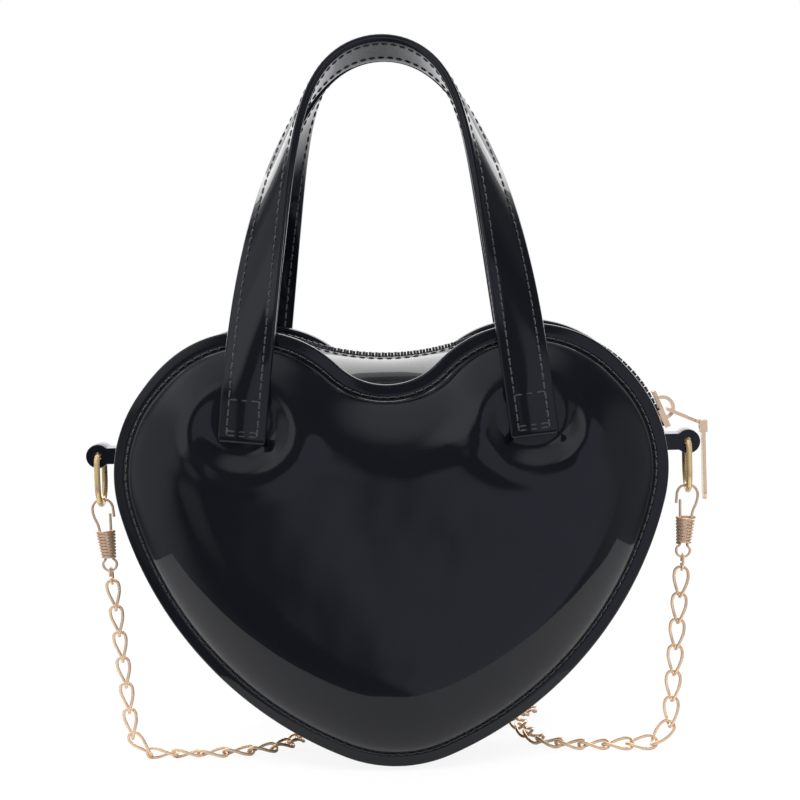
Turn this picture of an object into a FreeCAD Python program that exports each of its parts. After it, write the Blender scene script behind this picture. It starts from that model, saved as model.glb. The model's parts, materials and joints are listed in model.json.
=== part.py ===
import FreeCAD, Part
import math
import os
import Sketcher
from types import SimpleNamespace

# Heart shaped purse in padded patent sheet, with two strap handles, a zip and a chain strap.
# Lengths are in millimetres. The origin is the place where a hand holds both handles, the
# photographed panel faces -Y, and heights in the table are measured up from the heart's tip.

V = FreeCAD.Vector
SIDEWAYS = V(1, 0, 0)
BACKWARD = V(0, 1, 0)
UPWARD = V(0, 0, 1)

SIZES = [
    ("grip_height", 258.0, "underside of the handles above the heart's tip"),
    ("heart_height", 156.5, "top of the lobes on the rim"),
    ("lobe_spread", 50.0, "middle of the heart to a lobe's centre"),
    ("lobe_radius", 49.5, "rim round a lobe"),
    ("cleft_height", 138.0, "lowest point of the rim between the lobes"),
    ("side_radius", 135.0, "long curve down each side of the rim"),
    ("tip_radius", 50.0, "rim round the tip"),
    ("gusset_width", 58.0, "front seam to back seam"),
    ("gusset_puff", 2.0, "how far the gusset swells past the rim"),
    ("gusset_sag", 1.8, "how far the gusset's lobes lie below the rim's"),
    ("seam_flange", 5.0, "flat edge outside the seam"),
    ("sheet_wall", 1.3, "patent sheet with its backing"),
    ("dome_height", 12.0, "rise of a padded panel"),
    ("dome_run", 22.0, "width of a panel's rounded border"),
    ("layer_gap", 0.2, "room between stacked layers"),
    ("padding_wall", 2.5, "foam behind a panel"),
    ("lining_wall", 0.8, "lining cloth"),
    ("lining_depth", 3.4, "lining below the gusset's outer face at the middle"),
    ("backing_wall", 1.0, "stiff patch behind a sewn handle end"),
    ("backing_width", 19.0, "patch across the handle end"),
    ("backing_height", 9.0, "patch up the handle end"),
    ("backing_drop", 4.0, "patch below the handle end's foot"),
    ("zip_cleft_height", 147.5, "lowest point of the zip between the lobes"),
    ("zip_slot", 11.0, "gap between the two top strips"),
    ("tape_width", 14.0, "one half of the zip tape"),
    ("tape_wall", 0.6, "zip tape"),
    ("tooth_pitch", 2.4, "along the zip"),
    ("tooth_length", 0.9, "along the zip"),
    ("tooth_reach", 3.2, "tooth's root from the zip's middle"),
    ("tooth_lap", 0.5, "tooth's nose past the zip's middle"),
    ("tooth_height", 2.2, "above the tape"),
    ("stop_length", 3.0, "end stop along the zip"),
    ("slider_length", 14.0, "along the zip"),
    ("slider_width", 10.0, "across the zip"),
    ("slider_tail_width", 8.0, "across the zip where the teeth are closed"),
    ("slider_plate", 1.3, "top and bottom plates"),
    ("slider_lip", 0.8, "side lips of the top plate"),
    ("slider_dip", 0.75, "straight slider on the curved zip"),
    ("slider_rest", 1.6, "closed slider to the strips' feet, along the zip"),
    ("post_length", 3.0, "wedge that parts the teeth"),
    ("post_width", 1.6, "wedge that parts the teeth"),
    ("bail_length", 9.0, "bridge on the slider"),
    ("bail_height", 4.6, "bridge above the top plate"),
    ("bail_bar", 1.3, "bridge's metal"),
    ("bail_width", 2.4, "bridge across the zip"),
    ("pull_link_length", 14.0, "bail bar to pin"),
    ("pull_link_width", 6.0, "across the zip"),
    ("pull_rail", 1.1, "side rails of the link"),
    ("pull_link_plate", 1.2, "metal of the link"),
    ("knuckle_radius", 1.4, "rolled end of the link"),
    ("knuckle_width", 2.8, "rolled end of the link"),
    ("pin_radius", 0.5, "pin between link and tab"),
    ("pin_gap", 0.08, "running room round the pin"),
    ("pull_tab_length", 28.0, "pin to the tab's foot"),
    ("pull_tab_width", 7.2, "tab near its foot"),
    ("pull_neck_width", 5.6, "tab at the pin"),
    ("pull_tab_plate", 1.3, "metal of the tab"),
    ("tab_height", 113.0, "ring's axis above the heart's tip"),
    ("tab_reach", 7.84, "ring's axis outside the gusset, at least"),
    ("tab_width", 13.0, "rolled strip along the ring's bar"),
    ("tab_strip", 3.0, "rolled strip's thickness"),
    ("tab_root", 9.0, "strip sewn in behind the gusset's face"),
    ("ring_wire", 2.2, "wire of the side ring"),
    ("ring_width", 17.8, "ring's bar between the legs' centres"),
    ("ring_drop", 18.3, "bar to the ring's lowest wire"),
    ("ring_corner", 2.6, "bend between bar and legs"),
    ("running_gap", 0.3, "room between pieces that move"),
    ("clasp_wire", 1.0, "hook, gate and eye"),
    ("hook_radius", 3.85, "bend of the hook"),
    ("hook_tip_drop", 3.3, "straight end of the hook"),
    ("hook_leg", 8.2, "hook's bend to the coil"),
    ("coil_wire", 0.7, "spring round the clasp's legs"),
    ("coil_pitch", 1.16, "turn to turn"),
    ("coil_top_radius", 3.2, "centre of the wire"),
    ("coil_foot_radius", 2.3, "centre of the wire"),
    ("eye_radius", 2.55, "loop below the coil"),
    ("eye_neck", 2.6, "coil to the loop's centre"),
    ("gate_root", 5.4, "gate's end below the coil's top"),
    ("gate_rise", 6.4, "gate's tip above the coil's top"),
    ("jump_radius", 3.0, "centre of the wire"),
    ("jump_wire", 1.0, "ring between eye and chain"),
    ("jump_slit", 0.8, "cut in the ring"),
    ("link_wire", 1.2, "chain link"),
    ("link_half_length", 5.63, "centre of the wire"),
    ("link_half_width", 3.0, "centre of the wire"),
    ("link_pitch", 9.75, "link to link"),
    ("link_slack", 0.15, "room between link, ring and eye"),
    ("corner_slack", 0.9, "chain pushed together where it meets the floor"),
    ("corner_lift", 0.6, "chain above lying flat where it meets the floor"),
    ("hank_wire", 6.2, "chain's thickness in the hank"),
    ("hank_straight", 28.0, "half the straight run of the hank"),
    ("hank_radius", 22.0, "first strand from the hank's middle"),
    ("hank_step", 4.0, "change of that with each half turn"),
    ("hank_layer", 7.4, "height between the hank's two layers"),
    ("hank_setback", 70.0, "hank's middle behind the bag's middle"),
    ("hank_shift", 2.0, "hank's middle to the right"),
    ("hank_gap", 0.8, "room between the hank's ends and the runs"),
    ("strap_width", 17.0, "handle strap"),
    ("strap_wall", 3.0, "handle strap, all layers"),
    ("cover_wall", 1.2, "outer and inner layer of the strap"),
    ("core_wall", 0.5, "filler inside the strap"),
    ("core_width", 13.0, "filler inside the strap"),
    ("handle_spread", 51.7, "middle of the heart to a handle's end"),
    ("handle_end_height", 119.5, "foot of a sewn handle end"),
    ("sewn_length", 15.0, "sewn part of a handle end"),
    ("apex_setback", 9.4, "middle plane to the strap's middle at the top"),
    ("overrun", 1.0, "how far a cutting shape passes its work"),
]

# Plain shares and angles of the forms.
ARCH_ROUND_SHARE = 0.35
ARCH_LEG_SHARE = 0.65
ARCH_LEG_POWER = 4.5
LEAN_POWER = 1.4
TWIST_POWER = 1.5
APEX_TILT = 22.0
ARCH_STATIONS = 6
DOME_STEPS = (0, 30, 60, 90)
PULL_ANGLE = 24.0
DROP_LEAN = 5.5
LINK_TWIST = 45.0
CORNER_FALL_SHARE = 0.9
COIL_TURNS = 8.5
BAIL_PLACE_SHARE = 0.15
POST_PLACE_SHARE = 0.24
WAIST_SHARE = 0.45
SHOULDER_SHARE = 0.55
BAIL_RISE_SHARE = 0.36
NUDGE_SHARE = 0.001
HANK_HALF_TURNS = 7
CLIMB_AFTER = 3
ROLL_STEP = 15.0
QUARTERS = 4
HALVINGS = 40
LOOKS_PER_THICKNESS = 3
TURNED_ABOUT = 180.0
EVEN = 1e-9
SIDES = ("right", "left")

# Runs of the chain on the floor: across, back, and lift above lying flat.
RUN_POINTS = {
    "left": [(-80, 0.5, 0), (-62, 2, 0), (-47, 9, 0), (-40, 24, 0), (-35, 41, 0.2)],
    "right": [(80, 0.5, 0), (64, 2, 0), (52, 9, 0.5), (46, 23, 2.5), (40, 38, 5.8)],
}

DOC = FreeCAD.newDocument("HeartPurse")
SHEET = DOC.addObject("Spreadsheet::Sheet", "Sizes")


def fill_sheet():
    """Write the driving dimensions with their aliases and return them by name."""
    for row, (alias, value, note) in enumerate(SIZES, start=1):
        SHEET.set("A%d" % row, alias)
        SHEET.set("B%d" % row, str(value))
        SHEET.set("C%d" % row, note)
        SHEET.setAlias("B%d" % row, alias)
    DOC.recompute()
    return SimpleNamespace(**{alias: float(SHEET.get(alias)) for alias, _, _ in SIZES})


D = fill_sheet()
NODES = []


def bind(thing, **formulas):
    """Tie properties to cells: words in a formula that are aliases are read from the sheet."""
    for name, formula in formulas.items():
        words = formula.split(" ")
        tied = ["Sizes." + word if hasattr(D, word) else word for word in words]
        thing.setExpression(name, " ".join(tied))


def keep(thing, label):
    """Give a finished sub-part its label and list it for writing."""
    thing.Label = label
    NODES.append(thing)
    return thing


def seat(thing, place=V(), turn=FreeCAD.Rotation()):
    """Place a sub-part whose place is measured from the heart's tip."""
    thing.Placement = FreeCAD.Placement(place - UPWARD * D.grip_height, turn)
    return thing


def feature(label, shape, turn=FreeCAD.Rotation()):
    """Hold a shape made by Part's functions in the heart's frame."""
    thing = DOC.addObject("Part::Feature", label)
    thing.Shape = shape
    seat(thing, turn=turn)
    return keep(thing, label)


def half_turn(side):
    """Right hand and front pieces stay, left hand and back pieces are the same, turned about Z."""
    return FreeCAD.Rotation(UPWARD, 0 if side in ("right", "front") else TURNED_ABOUT)


def pair(label, shape):
    """Front piece and the same piece turned about Z as the back one."""
    for side in ("front", "back"):
        feature(side + "_" + label, shape, half_turn(side))


# Heart outline: six tangent arcs, offset by changing their radii about the same centres.

LOBE = V(D.lobe_spread, 0, D.heart_height - D.lobe_radius)
TIP = V(0, 0, D.tip_radius)


def side_centre(lobe):
    """Centre of the right side's arc, which holds the lobe and tip arcs inside it."""
    gap = D.side_radius - D.lobe_radius
    rise = lobe.z - TIP.z
    reach = math.hypot(lobe.x, rise)
    against = (reach ** 2 + gap ** 2 - (D.side_radius - D.tip_radius) ** 2) / (2 * gap)
    angle = math.atan2(rise, lobe.x) - math.acos(against / reach)
    return lobe - V(math.cos(angle), 0, math.sin(angle)) * gap


def cleft_radius(lobe, lobe_radius, cleft_height):
    """Radius of the arc that touches both lobes at the given height, below zero where it bulges up."""
    rise = cleft_height - lobe.z
    return (lobe.x ** 2 + rise ** 2 - lobe_radius ** 2) / (2 * (lobe_radius - rise))


def toward(start, goal, length):
    """The point at a length from start in the direction of goal."""
    return start + (goal - start).normalize() * length


def arc_about(centre, first, last, through):
    """Arc about a centre that passes on the side of a given point."""
    middle = toward(centre, through, (first - centre).Length)
    return Part.Arc(first, middle, last).toShape()


def flipped(point):
    """The point across the heart's middle line."""
    return V(-point.x, point.y, point.z)


def heart_edges(depth, inset, puff=0, cleft_height=D.cleft_height, lobe=LOBE):
    """Edges of the heart at a depth: side, lobe, cleft, lobe, side, tip."""
    lobe_radius = D.lobe_radius + puff
    flank = side_centre(lobe)
    bend = cleft_radius(lobe, lobe_radius, cleft_height)
    notch = V(0, 0, cleft_height + bend)
    foot = toward(flank, TIP, D.side_radius + puff - inset)
    hip = toward(flank, lobe, D.side_radius + puff - inset)
    crest = toward(lobe, notch, math.copysign(lobe_radius - inset, bend))
    waist = (foot + hip) / 2
    top = lobe + (SIDEWAYS + UPWARD) * D.lobe_radius
    edges = [
        arc_about(flank, foot, hip, waist),
        arc_about(lobe, hip, crest, top),
        arc_about(notch, crest, flipped(crest), notch - UPWARD * bend),
        arc_about(flipped(lobe), flipped(crest), flipped(hip), flipped(top)),
        arc_about(flipped(flank), flipped(hip), flipped(foot), flipped(waist)),
        arc_about(TIP, flipped(foot), foot, V()),
    ]
    for edge in edges:
        edge.translate(BACKWARD * depth)
    return edges


def heart(depth, inset, **more):
    """Closed heart outline at a depth."""
    return Part.Wire(heart_edges(depth, inset, **more))


def slab(first, last, inset):
    """Heart shaped plate between two depths."""
    return Part.Face(heart(first, inset)).extrude(BACKWARD * (last - first))


def block(low, high):
    """Box between two corners, used for cutting."""
    return Part.makeBox(high.x - low.x, high.y - low.y, high.z - low.z, low)


def one_solid(shape):
    """The single solid of a boolean result."""
    return shape.removeSplitter().Solids[0]


# Body of the bag: panels, padding, lining and gusset.

SEAM = D.gusset_width / 2
PANEL_BASE = SEAM + D.sheet_wall
PANEL_FACE = PANEL_BASE + D.dome_height
PADDING_INSET = D.sheet_wall + D.backing_wall + 2 * D.layer_gap
LINING_INSET = PADDING_INSET + D.padding_wall + D.layer_gap
ROOM = D.lobe_spread + D.lobe_radius + D.grip_height
STRIP_FOOT = D.tab_height + D.tab_strip + D.layer_gap
TRACK_LOBE = LOBE - UPWARD * D.gusset_sag
TRACK = {"puff": D.gusset_puff, "cleft_height": D.zip_cleft_height, "lobe": TRACK_LOBE}


def dome_solid(below):
    """Solid under a padded face: hearts that shrink as they rise along a quarter ellipse."""
    hearts = []
    for step in DOME_STEPS:
        swing = math.radians(step)
        inset = D.seam_flange + below + D.dome_run * (1 - math.cos(swing))
        rise = (D.dome_height - below) * math.sin(swing)
        hearts.append(heart(-PANEL_BASE - rise, inset))
    return Part.makeLoft(hearts, True)


def dome(below, wall):
    """Shell of a given wall at a depth below the front panel's face."""
    return dome_solid(below).cut(dome_solid(below + wall))


def rim(first, last):
    """Flat flange of the seam between two depths."""
    inner = slab(first - D.overrun, last + D.overrun, D.seam_flange + D.sheet_wall)
    return slab(first, last, 0).cut(inner)


def band_solid(below_seam, below_middle, half_width):
    """Solid inside a gusset face that swells between the two seams."""
    inset = D.seam_flange + below_seam
    middle = heart(0, below_middle, **TRACK)
    return Part.makeLoft([heart(-half_width, inset), middle, heart(half_width, inset)], True)


def band(below_seam, below_middle, wall, half_width):
    """Closed band of the gusset with a given wall."""
    inner = band_solid(below_seam + wall, below_middle + wall, half_width)
    return band_solid(below_seam, below_middle, half_width).cut(inner)


def build_panels():
    pair("panel", one_solid(dome(0, D.sheet_wall).fuse(rim(-PANEL_BASE, -SEAM))))
    pair("padding", one_solid(dome(PADDING_INSET, D.padding_wall)))
    pair("lining", one_solid(dome(LINING_INSET, D.lining_wall)))


def build_gusset():
    """Bottom gusset with a notch for each ring tab, and the two strips beside the zip."""
    flanges = [rim(-SEAM, D.sheet_wall - SEAM), rim(SEAM - D.sheet_wall, SEAM)]
    ring = band(0, 0, D.sheet_wall, SEAM).fuse(flanges)
    slot = D.tab_width / 2 + D.layer_gap
    notch = block(V(-ROOM, -slot, D.tab_height - D.tab_strip - D.layer_gap), V(ROOM, slot, ROOM))
    lower = block(V(-ROOM, -ROOM, -ROOM), V(ROOM, ROOM, STRIP_FOOT - D.layer_gap))
    feature("bottom_gusset", one_solid(ring.common(lower).cut(notch)))
    upper = block(V(-ROOM, -ROOM, STRIP_FOOT), V(ROOM, -D.zip_slot / 2, ROOM))
    pair("top_strip", one_solid(ring.common(upper)))


def build_gusset_lining():
    lining = band(LINING_INSET, D.lining_depth, D.lining_wall, PANEL_BASE)
    slot = block(V(-ROOM, -D.tape_width, D.tab_height - D.tab_root), V(ROOM, D.tape_width, ROOM))
    feature("gusset_lining", one_solid(lining.cut(slot)))


# Zip: tapes below the strips, two rows of teeth, an end stop, slider, link, pin and tab.

TAPE_TOP = D.sheet_wall + D.layer_gap / 2
TAPE_EDGE = D.post_width / 2 + D.running_gap
TRACK_RADIUS = D.lobe_radius + D.gusset_puff
FOOT_SWING = math.asin((STRIP_FOOT - TRACK_LOBE.z) / TRACK_RADIUS)
SLIDER_SWING = FOOT_SWING + (D.slider_length / 2 + D.slider_rest) / TRACK_RADIUS
OUTWARD = V(math.cos(SLIDER_SWING), 0, math.sin(SLIDER_SWING))
ALONG = V(math.sin(SLIDER_SWING), 0, -math.cos(SLIDER_SWING))
SLIDER_SEAT = TRACK_LOBE + OUTWARD * TRACK_RADIUS
PLATE_FOOT = D.tooth_height - TAPE_TOP + D.running_gap
PLATE_TOP = PLATE_FOOT + D.slider_plate
BELLY = TAPE_TOP + D.tape_wall + D.running_gap + D.slider_dip


def build_tapes():
    layer = band(TAPE_TOP, TAPE_TOP, D.tape_wall, SEAM)
    window = block(V(-ROOM, -D.tape_width, STRIP_FOOT), V(ROOM, -TAPE_EDGE, ROOM))
    pair("zip_tape", one_solid(layer.common(window)))


def zip_stations():
    """Places along the tape's top from the right end to the left, with along and outward."""
    edges = heart_edges(0, TAPE_TOP, **TRACK)[1:4]
    points = Part.Wire(edges).discretize(Distance=D.tooth_pitch / 2)
    stations = []
    for before, here, after in zip(points, points[1:], points[2:]):
        along = (after - before).normalize()
        stations.append((here, along, along.cross(BACKWARD) * -1))
    return stations


def framed(shape, place, along, across, up):
    """Copy of a shape whose X, Y and Z are turned to three given directions."""
    copy = shape.copy()
    copy.Placement = FreeCAD.Placement(place, FreeCAD.Rotation(along, across, up, "XYZ"))
    return copy


def tooth():
    """One tooth: a root on the tape and a nose that passes the middle."""
    crown = D.tooth_height
    corners = [V(0, -D.tooth_reach, 0), V(), V(0, D.tooth_lap, crown / 2), V(0, 0, crown),
               V(0, -D.tooth_reach, crown)]
    face = Part.Face(Part.makePolygon(corners + corners[:1]))
    face.translate(SIDEWAYS * (-D.tooth_length / 2))
    return face.extrude(SIDEWAYS * D.tooth_length)


def build_teeth():
    """Front teeth on every second station and back teeth between them, up to the slider's wedge."""
    one = tooth()
    rows = {"front": [], "back": []}
    lowest = STRIP_FOOT + D.stop_length + D.tooth_pitch
    for number, (place, along, up) in enumerate(zip_stations()):
        in_slider = place.x > 0 and (place - SLIDER_SEAT).dot(ALONG) > 0
        if place.z < lowest or in_slider:
            continue
        side = "back" if number % 2 else "front"
        turn = half_turn(side)
        across = turn.multVec(BACKWARD)
        rows[side].append(framed(one, place, across.cross(up), across, up))
    for side, teeth in rows.items():
        feature(side + "_zip_teeth", Part.makeCompound(teeth))


def build_stop():
    """Metal stop across both tapes at the left end of the zip."""
    stop = DOC.addObject("Part::Box", "zip_stop")
    bind(stop, Length="tooth_height", Width="2 * tooth_reach", Height="stop_length")
    rise = STRIP_FOOT + D.layer_gap - TRACK_LOBE.z
    reach = math.sqrt((TRACK_RADIUS - TAPE_TOP) ** 2 - rise ** 2)
    seat(stop, V(-LOBE.x - reach, D.tooth_reach, TRACK_LOBE.z + rise), half_turn("left"))
    keep(stop, "zip_stop")


# Bodies with sketches.

def new_body(label):
    return DOC.addObject("PartDesign::Body", label)


def sketch_on(body, role, edges, lift=0):
    """Sketch on one of the body's own planes, lifted along the plane's normal."""
    plane = next(item for item in body.Origin.OriginFeatures if item.Role == role)
    sketch = body.newObject("Sketcher::SketchObject", body.Name + "_sketch")
    sketch.AttachmentSupport = [(plane, "")]
    sketch.MapMode = "FlatFace"
    sketch.AttachmentOffset = FreeCAD.Placement(UPWARD * lift, FreeCAD.Rotation())
    for edge in edges:
        sketch.addGeometry(edge, False)
    return sketch


def outline(points):
    """Straight edges through flat points, closed."""
    corners = [V(across, up, 0) for across, up in points]
    return [Part.LineSegment(first, last) for first, last in zip(corners, corners[1:] + corners[:1])]


def rectangle(left, low, right, high):
    return outline([(left, low), (right, low), (right, high), (left, high)])


def disc(across, up, radius):
    return [Part.Circle(V(across, up, 0), UPWARD, radius)]


def sketch_feature(kind, body, sketch, length, symmetric):
    """Pad or Pocket whose length follows the sheet."""
    piece = body.newObject("PartDesign::" + kind, body.Name + "_" + kind.lower())
    piece.Profile = sketch
    piece.SideType = "Symmetric" if symmetric else "One side"
    bind(piece, Length=length)
    DOC.recompute()


def pad(body, sketch, length, symmetric=False):
    sketch_feature("Pad", body, sketch, length, symmetric)


def pocket(body, sketch, length):
    sketch_feature("Pocket", body, sketch, length, True)


def slider_outline():
    """Slider seen from outside, narrower at the tail where the teeth are closed."""
    half = D.slider_length / 2
    wide = D.slider_width / 2
    slim = D.slider_tail_width / 2
    return outline([(-half, -slim), (0, -wide), (half, -wide), (half, wide), (0, wide), (-half, slim)])


def build_slider():
    """Bottom plate, wedge, top plate with lips, and the bail on it."""
    body = new_body("zip_slider")
    half = D.slider_length / 2
    wide = D.slider_width / 2
    first = D.slider_length * POST_PLACE_SHARE
    middle = first + D.post_length / 2
    wedge = outline([(first, 0), (middle, -D.post_width / 2), (first + D.post_length, 0),
                     (middle, D.post_width / 2)])
    low = -BELLY - D.slider_plate
    pad(body, sketch_on(body, "XY_Plane", slider_outline(), low), "slider_plate")
    pad(body, sketch_on(body, "XY_Plane", wedge, low + D.slider_plate / 2),
        "tooth_height + tape_wall + 2 * running_gap + slider_dip + slider_plate")
    pad(body, sketch_on(body, "XY_Plane", slider_outline(), PLATE_FOOT), "slider_plate")
    for side in (-1, 1):
        edges = sorted((side * wide, side * (wide - D.slider_lip)))
        lip = rectangle(0, edges[0], half, edges[1])
        pad(body, sketch_on(body, "XY_Plane", lip, PLATE_FOOT - D.slider_lip),
            "slider_lip + slider_plate / 2")
    pad(body, sketch_on(body, "XZ_Plane", bail_edges()), "bail_width", symmetric=True)
    seat(body, SLIDER_SEAT, FreeCAD.Rotation(ALONG, BACKWARD, OUTWARD, "XYZ"))
    keep(body, "zip_slider")


def bail_edges():
    """Bridge in side view: a low arch of flat bar with both feet in the top plate."""
    foot = PLATE_TOP - D.slider_plate / 2
    crest = PLATE_TOP + D.bail_height
    half = D.bail_length / 2
    inner = half - D.bail_bar
    outer_arc = Part.Arc(V(-half, foot, 0), V(0, crest, 0), V(half, foot, 0))
    inner_arc = Part.Arc(V(-inner, foot, 0), V(0, crest - D.bail_bar, 0), V(inner, foot, 0))
    left = Part.LineSegment(V(-half, foot, 0), V(-inner, foot, 0))
    right = Part.LineSegment(V(inner, foot, 0), V(half, foot, 0))
    return [outer_arc, right, inner_arc, left]


BAIL_AXIS = (SLIDER_SEAT + ALONG * (D.bail_length * BAIL_PLACE_SHARE)
             + OUTWARD * (PLATE_TOP + D.bail_height * BAIL_RISE_SHARE))
PULL_WAY = FreeCAD.Rotation(BACKWARD, PULL_ANGLE).multVec(SIDEWAYS)
PIN_AXIS = BAIL_AXIS + PULL_WAY * D.pull_link_length


def build_pull_link():
    """Flat frame whose bar lies under the bail and whose far end is rolled round the pin."""
    body = new_body("pull_link")
    half = D.pull_link_width / 2
    bar = D.pull_link_plate / 2
    shoulder = D.pull_link_length * SHOULDER_SHARE
    neck = D.knuckle_width / 2
    far = D.pull_link_length
    throat = far - 2 * D.knuckle_radius
    frame = outline([(-bar, -half), (shoulder, -half), (throat, -neck), (far, -neck),
                     (far, neck), (throat, neck), (shoulder, half), (-bar, half)])
    window = rectangle(bar, D.pull_rail - half, shoulder, half - D.pull_rail)
    pad(body, sketch_on(body, "XY_Plane", frame + window), "pull_link_plate", symmetric=True)
    knuckle = disc(far, 0, D.knuckle_radius)
    bore = disc(far, 0, D.pin_radius + D.pin_gap)
    pad(body, sketch_on(body, "XZ_Plane", knuckle), "knuckle_width", symmetric=True)
    pocket(body, sketch_on(body, "XZ_Plane", bore), "knuckle_width + overrun")
    seat(body, BAIL_AXIS, FreeCAD.Rotation(BACKWARD, PULL_ANGLE))
    keep(body, "pull_link")


def build_pull_pin():
    pin = DOC.addObject("Part::Cylinder", "pull_pin")
    bind(pin, Radius="pin_radius", Height="pull_neck_width")
    seat(pin, PIN_AXIS - BACKWARD * (D.pull_neck_width / 2), FreeCAD.Rotation(UPWARD, BACKWARD))
    keep(pin, "pull_pin")


def paddle():
    """Tab seen from its flat side: slim at the pin, wide and round at its foot."""
    neck = D.pull_neck_width / 2
    wide = D.pull_tab_width / 2
    waist = -D.pull_tab_length * WAIST_SHARE
    foot = wide - D.pull_tab_length
    corners = [V(wide, foot, 0), V(neck, waist, 0), V(neck, D.knuckle_radius, 0),
               V(-neck, D.knuckle_radius, 0), V(-neck, waist, 0), V(-wide, foot, 0)]
    base = Part.Arc(corners[-1], V(0, -D.pull_tab_length, 0), corners[0])
    return [base] + [Part.LineSegment(first, last) for first, last in zip(corners, corners[1:])]


def build_pull_tab():
    """Hanging tab: a forked knuckle at the pin, thinned to a plate below it."""
    body = new_body("pull_tab")
    pad(body, sketch_on(body, "YZ_Plane", paddle()), "2 * knuckle_radius", symmetric=True)
    gap = D.knuckle_width / 2 + D.running_gap
    low = -D.knuckle_radius - D.running_gap
    high = D.knuckle_radius + D.overrun
    fork = rectangle(-gap, low, gap, high)
    pocket(body, sketch_on(body, "YZ_Plane", fork), "2 * knuckle_radius + overrun")
    pocket(body, sketch_on(body, "XZ_Plane", disc(0, 0, D.pin_radius)), "pull_neck_width + overrun")
    thin = D.pull_tab_plate / 2
    for side in (-1, 1):
        edges = sorted((side * thin, side * high))
        waste = rectangle(edges[0], -D.pull_tab_length - D.overrun, edges[1], low - D.pull_tab_plate)
        pocket(body, sketch_on(body, "XZ_Plane", waste), "pull_tab_width + overrun")
    keep(seat(body, PIN_AXIS), "pull_tab")


# Side rings with their rolled tabs.

TAB_SEAT = LOBE.x + math.sqrt(TRACK_RADIUS ** 2 - (D.tab_height - TRACK_LOBE.z) ** 2)
CLASP_ROOM = D.hook_radius + D.clasp_wire + D.running_gap


def ring_axis():
    """The bar's middle: off the gusset, and far enough out for a clasp to hang past its widest place."""
    across = max(TAB_SEAT + D.tab_reach, LOBE.x + TRACK_RADIUS + CLASP_ROOM)
    return V(across, 0, D.tab_height)


RING_AXIS = ring_axis()
TAB_LENGTH = RING_AXIS.x - TAB_SEAT + D.tab_root
RING_FOOT = RING_AXIS - UPWARD * D.ring_drop


def at_side(side, thing, place, turn=FreeCAD.Rotation()):
    """Seat a right hand piece, or the same piece turned about Z for the left hand."""
    return seat(thing, half_turn(side).multVec(place), half_turn(side).multiply(turn))


def build_tab(side):
    """Strip rolled round the ring's bar, both ends sewn in together through the gusset."""
    across = FreeCAD.Rotation(UPWARD, BACKWARD)
    loop = DOC.addObject("Part::Cylinder", side + "_tab_loop")
    bind(loop, Radius="ring_wire / 2 + running_gap + tab_strip", Height="tab_width")
    bore = DOC.addObject("Part::Cylinder", side + "_tab_bore")
    bind(bore, Radius="ring_wire / 2 + running_gap", Height="tab_width + 2 * overrun")
    neck = DOC.addObject("Part::Box", side + "_tab_neck")
    neck.Length = TAB_LENGTH
    bind(neck, Width="tab_width", Height="2 * tab_strip")
    start = RING_AXIS - BACKWARD * (D.tab_width / 2)
    at_side(side, loop, start, across)
    at_side(side, bore, start - BACKWARD * D.overrun, across)
    at_side(side, neck, start - V(TAB_LENGTH, 0, D.tab_strip))
    whole = DOC.addObject("Part::MultiFuse", side + "_tab_whole")
    whole.Shapes = [loop, neck]
    tab = DOC.addObject("Part::Cut", side + "_ring_tab")
    tab.Base = whole
    tab.Tool = bore
    keep(tab, side + "_ring_tab")


def wire_body(label, path, wire, path_role, profile_role):
    """Bent wire: a round profile at the origin swept along a flat path that starts there."""
    body = new_body(label)
    spine = sketch_on(body, path_role, path)
    radius = getattr(D, wire) / 2
    profile = sketch_on(body, profile_role, disc(0, 0, radius))
    profile.addConstraint(Sketcher.Constraint("Radius", 0, radius))
    profile.addConstraint(Sketcher.Constraint("Coincident", 0, 3, -1, 1))
    profile.setExpression("Constraints[0]", "Sizes.%s / 2" % wire)
    DOC.recompute()
    pipe = body.newObject("PartDesign::AdditivePipe", label + "_pipe")
    pipe.Profile = profile
    pipe.Spine = (spine, ["Edge%d" % number for number in range(1, len(path) + 1)])
    DOC.recompute()
    return body


def ring_path():
    """Ring in its own plane: bar, two bends, two legs and a round foot."""
    half = D.ring_width / 2
    bend = D.ring_corner
    knee = half - D.ring_drop
    slant = bend * (1 - math.sqrt(1 / 2))
    right = [Part.LineSegment(V(), V(half - bend, 0, 0)),
             Part.Arc(V(half - bend, 0, 0), V(half - slant, -slant, 0), V(half, -bend, 0)),
             Part.LineSegment(V(half, -bend, 0), V(half, knee, 0))]
    foot = Part.Arc(V(half, knee, 0), V(0, -D.ring_drop, 0), V(-half, knee, 0))
    left = [Part.LineSegment(V(-half, knee, 0), V(-half, -bend, 0)),
            Part.Arc(V(-half, -bend, 0), V(slant - half, -slant, 0), V(bend - half, 0, 0)),
            Part.LineSegment(V(bend - half, 0, 0), V())]
    return right + [foot] + left


def build_ring(side):
    body = wire_body(side + "_ring", ring_path(), "ring_wire", "YZ_Plane", "XZ_Plane")
    keep(at_side(side, body, RING_AXIS), side + "_ring")


# Arcs that meet smoothly.

def arc_between(first, corner, last):
    """Arc from first to last whose end tangents meet at a corner."""
    middle = (first + last) / 2
    half = (last - first).Length / 2
    height = (corner - middle).Length
    bulge = half * math.tan(math.atan2(height, half) / 2)
    return Part.Arc(first, toward(middle, corner, bulge), last)


def biarc(first, first_way, last, last_way):
    """Two arcs that join two points with given directions."""
    step = last - first
    both = step.dot(first_way + last_way)
    spread = 2 * (1 - first_way.dot(last_way))
    if spread < EVEN:
        arm = step.dot(step) / (2 * both)
    else:
        arm = (math.sqrt(both ** 2 + spread * step.dot(step)) - both) / spread
    near = first + first_way * arm
    far = last - last_way * arm
    joint = (near + far) / 2
    return [arc_between(first, near, joint), arc_between(joint, far, last)]


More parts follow.
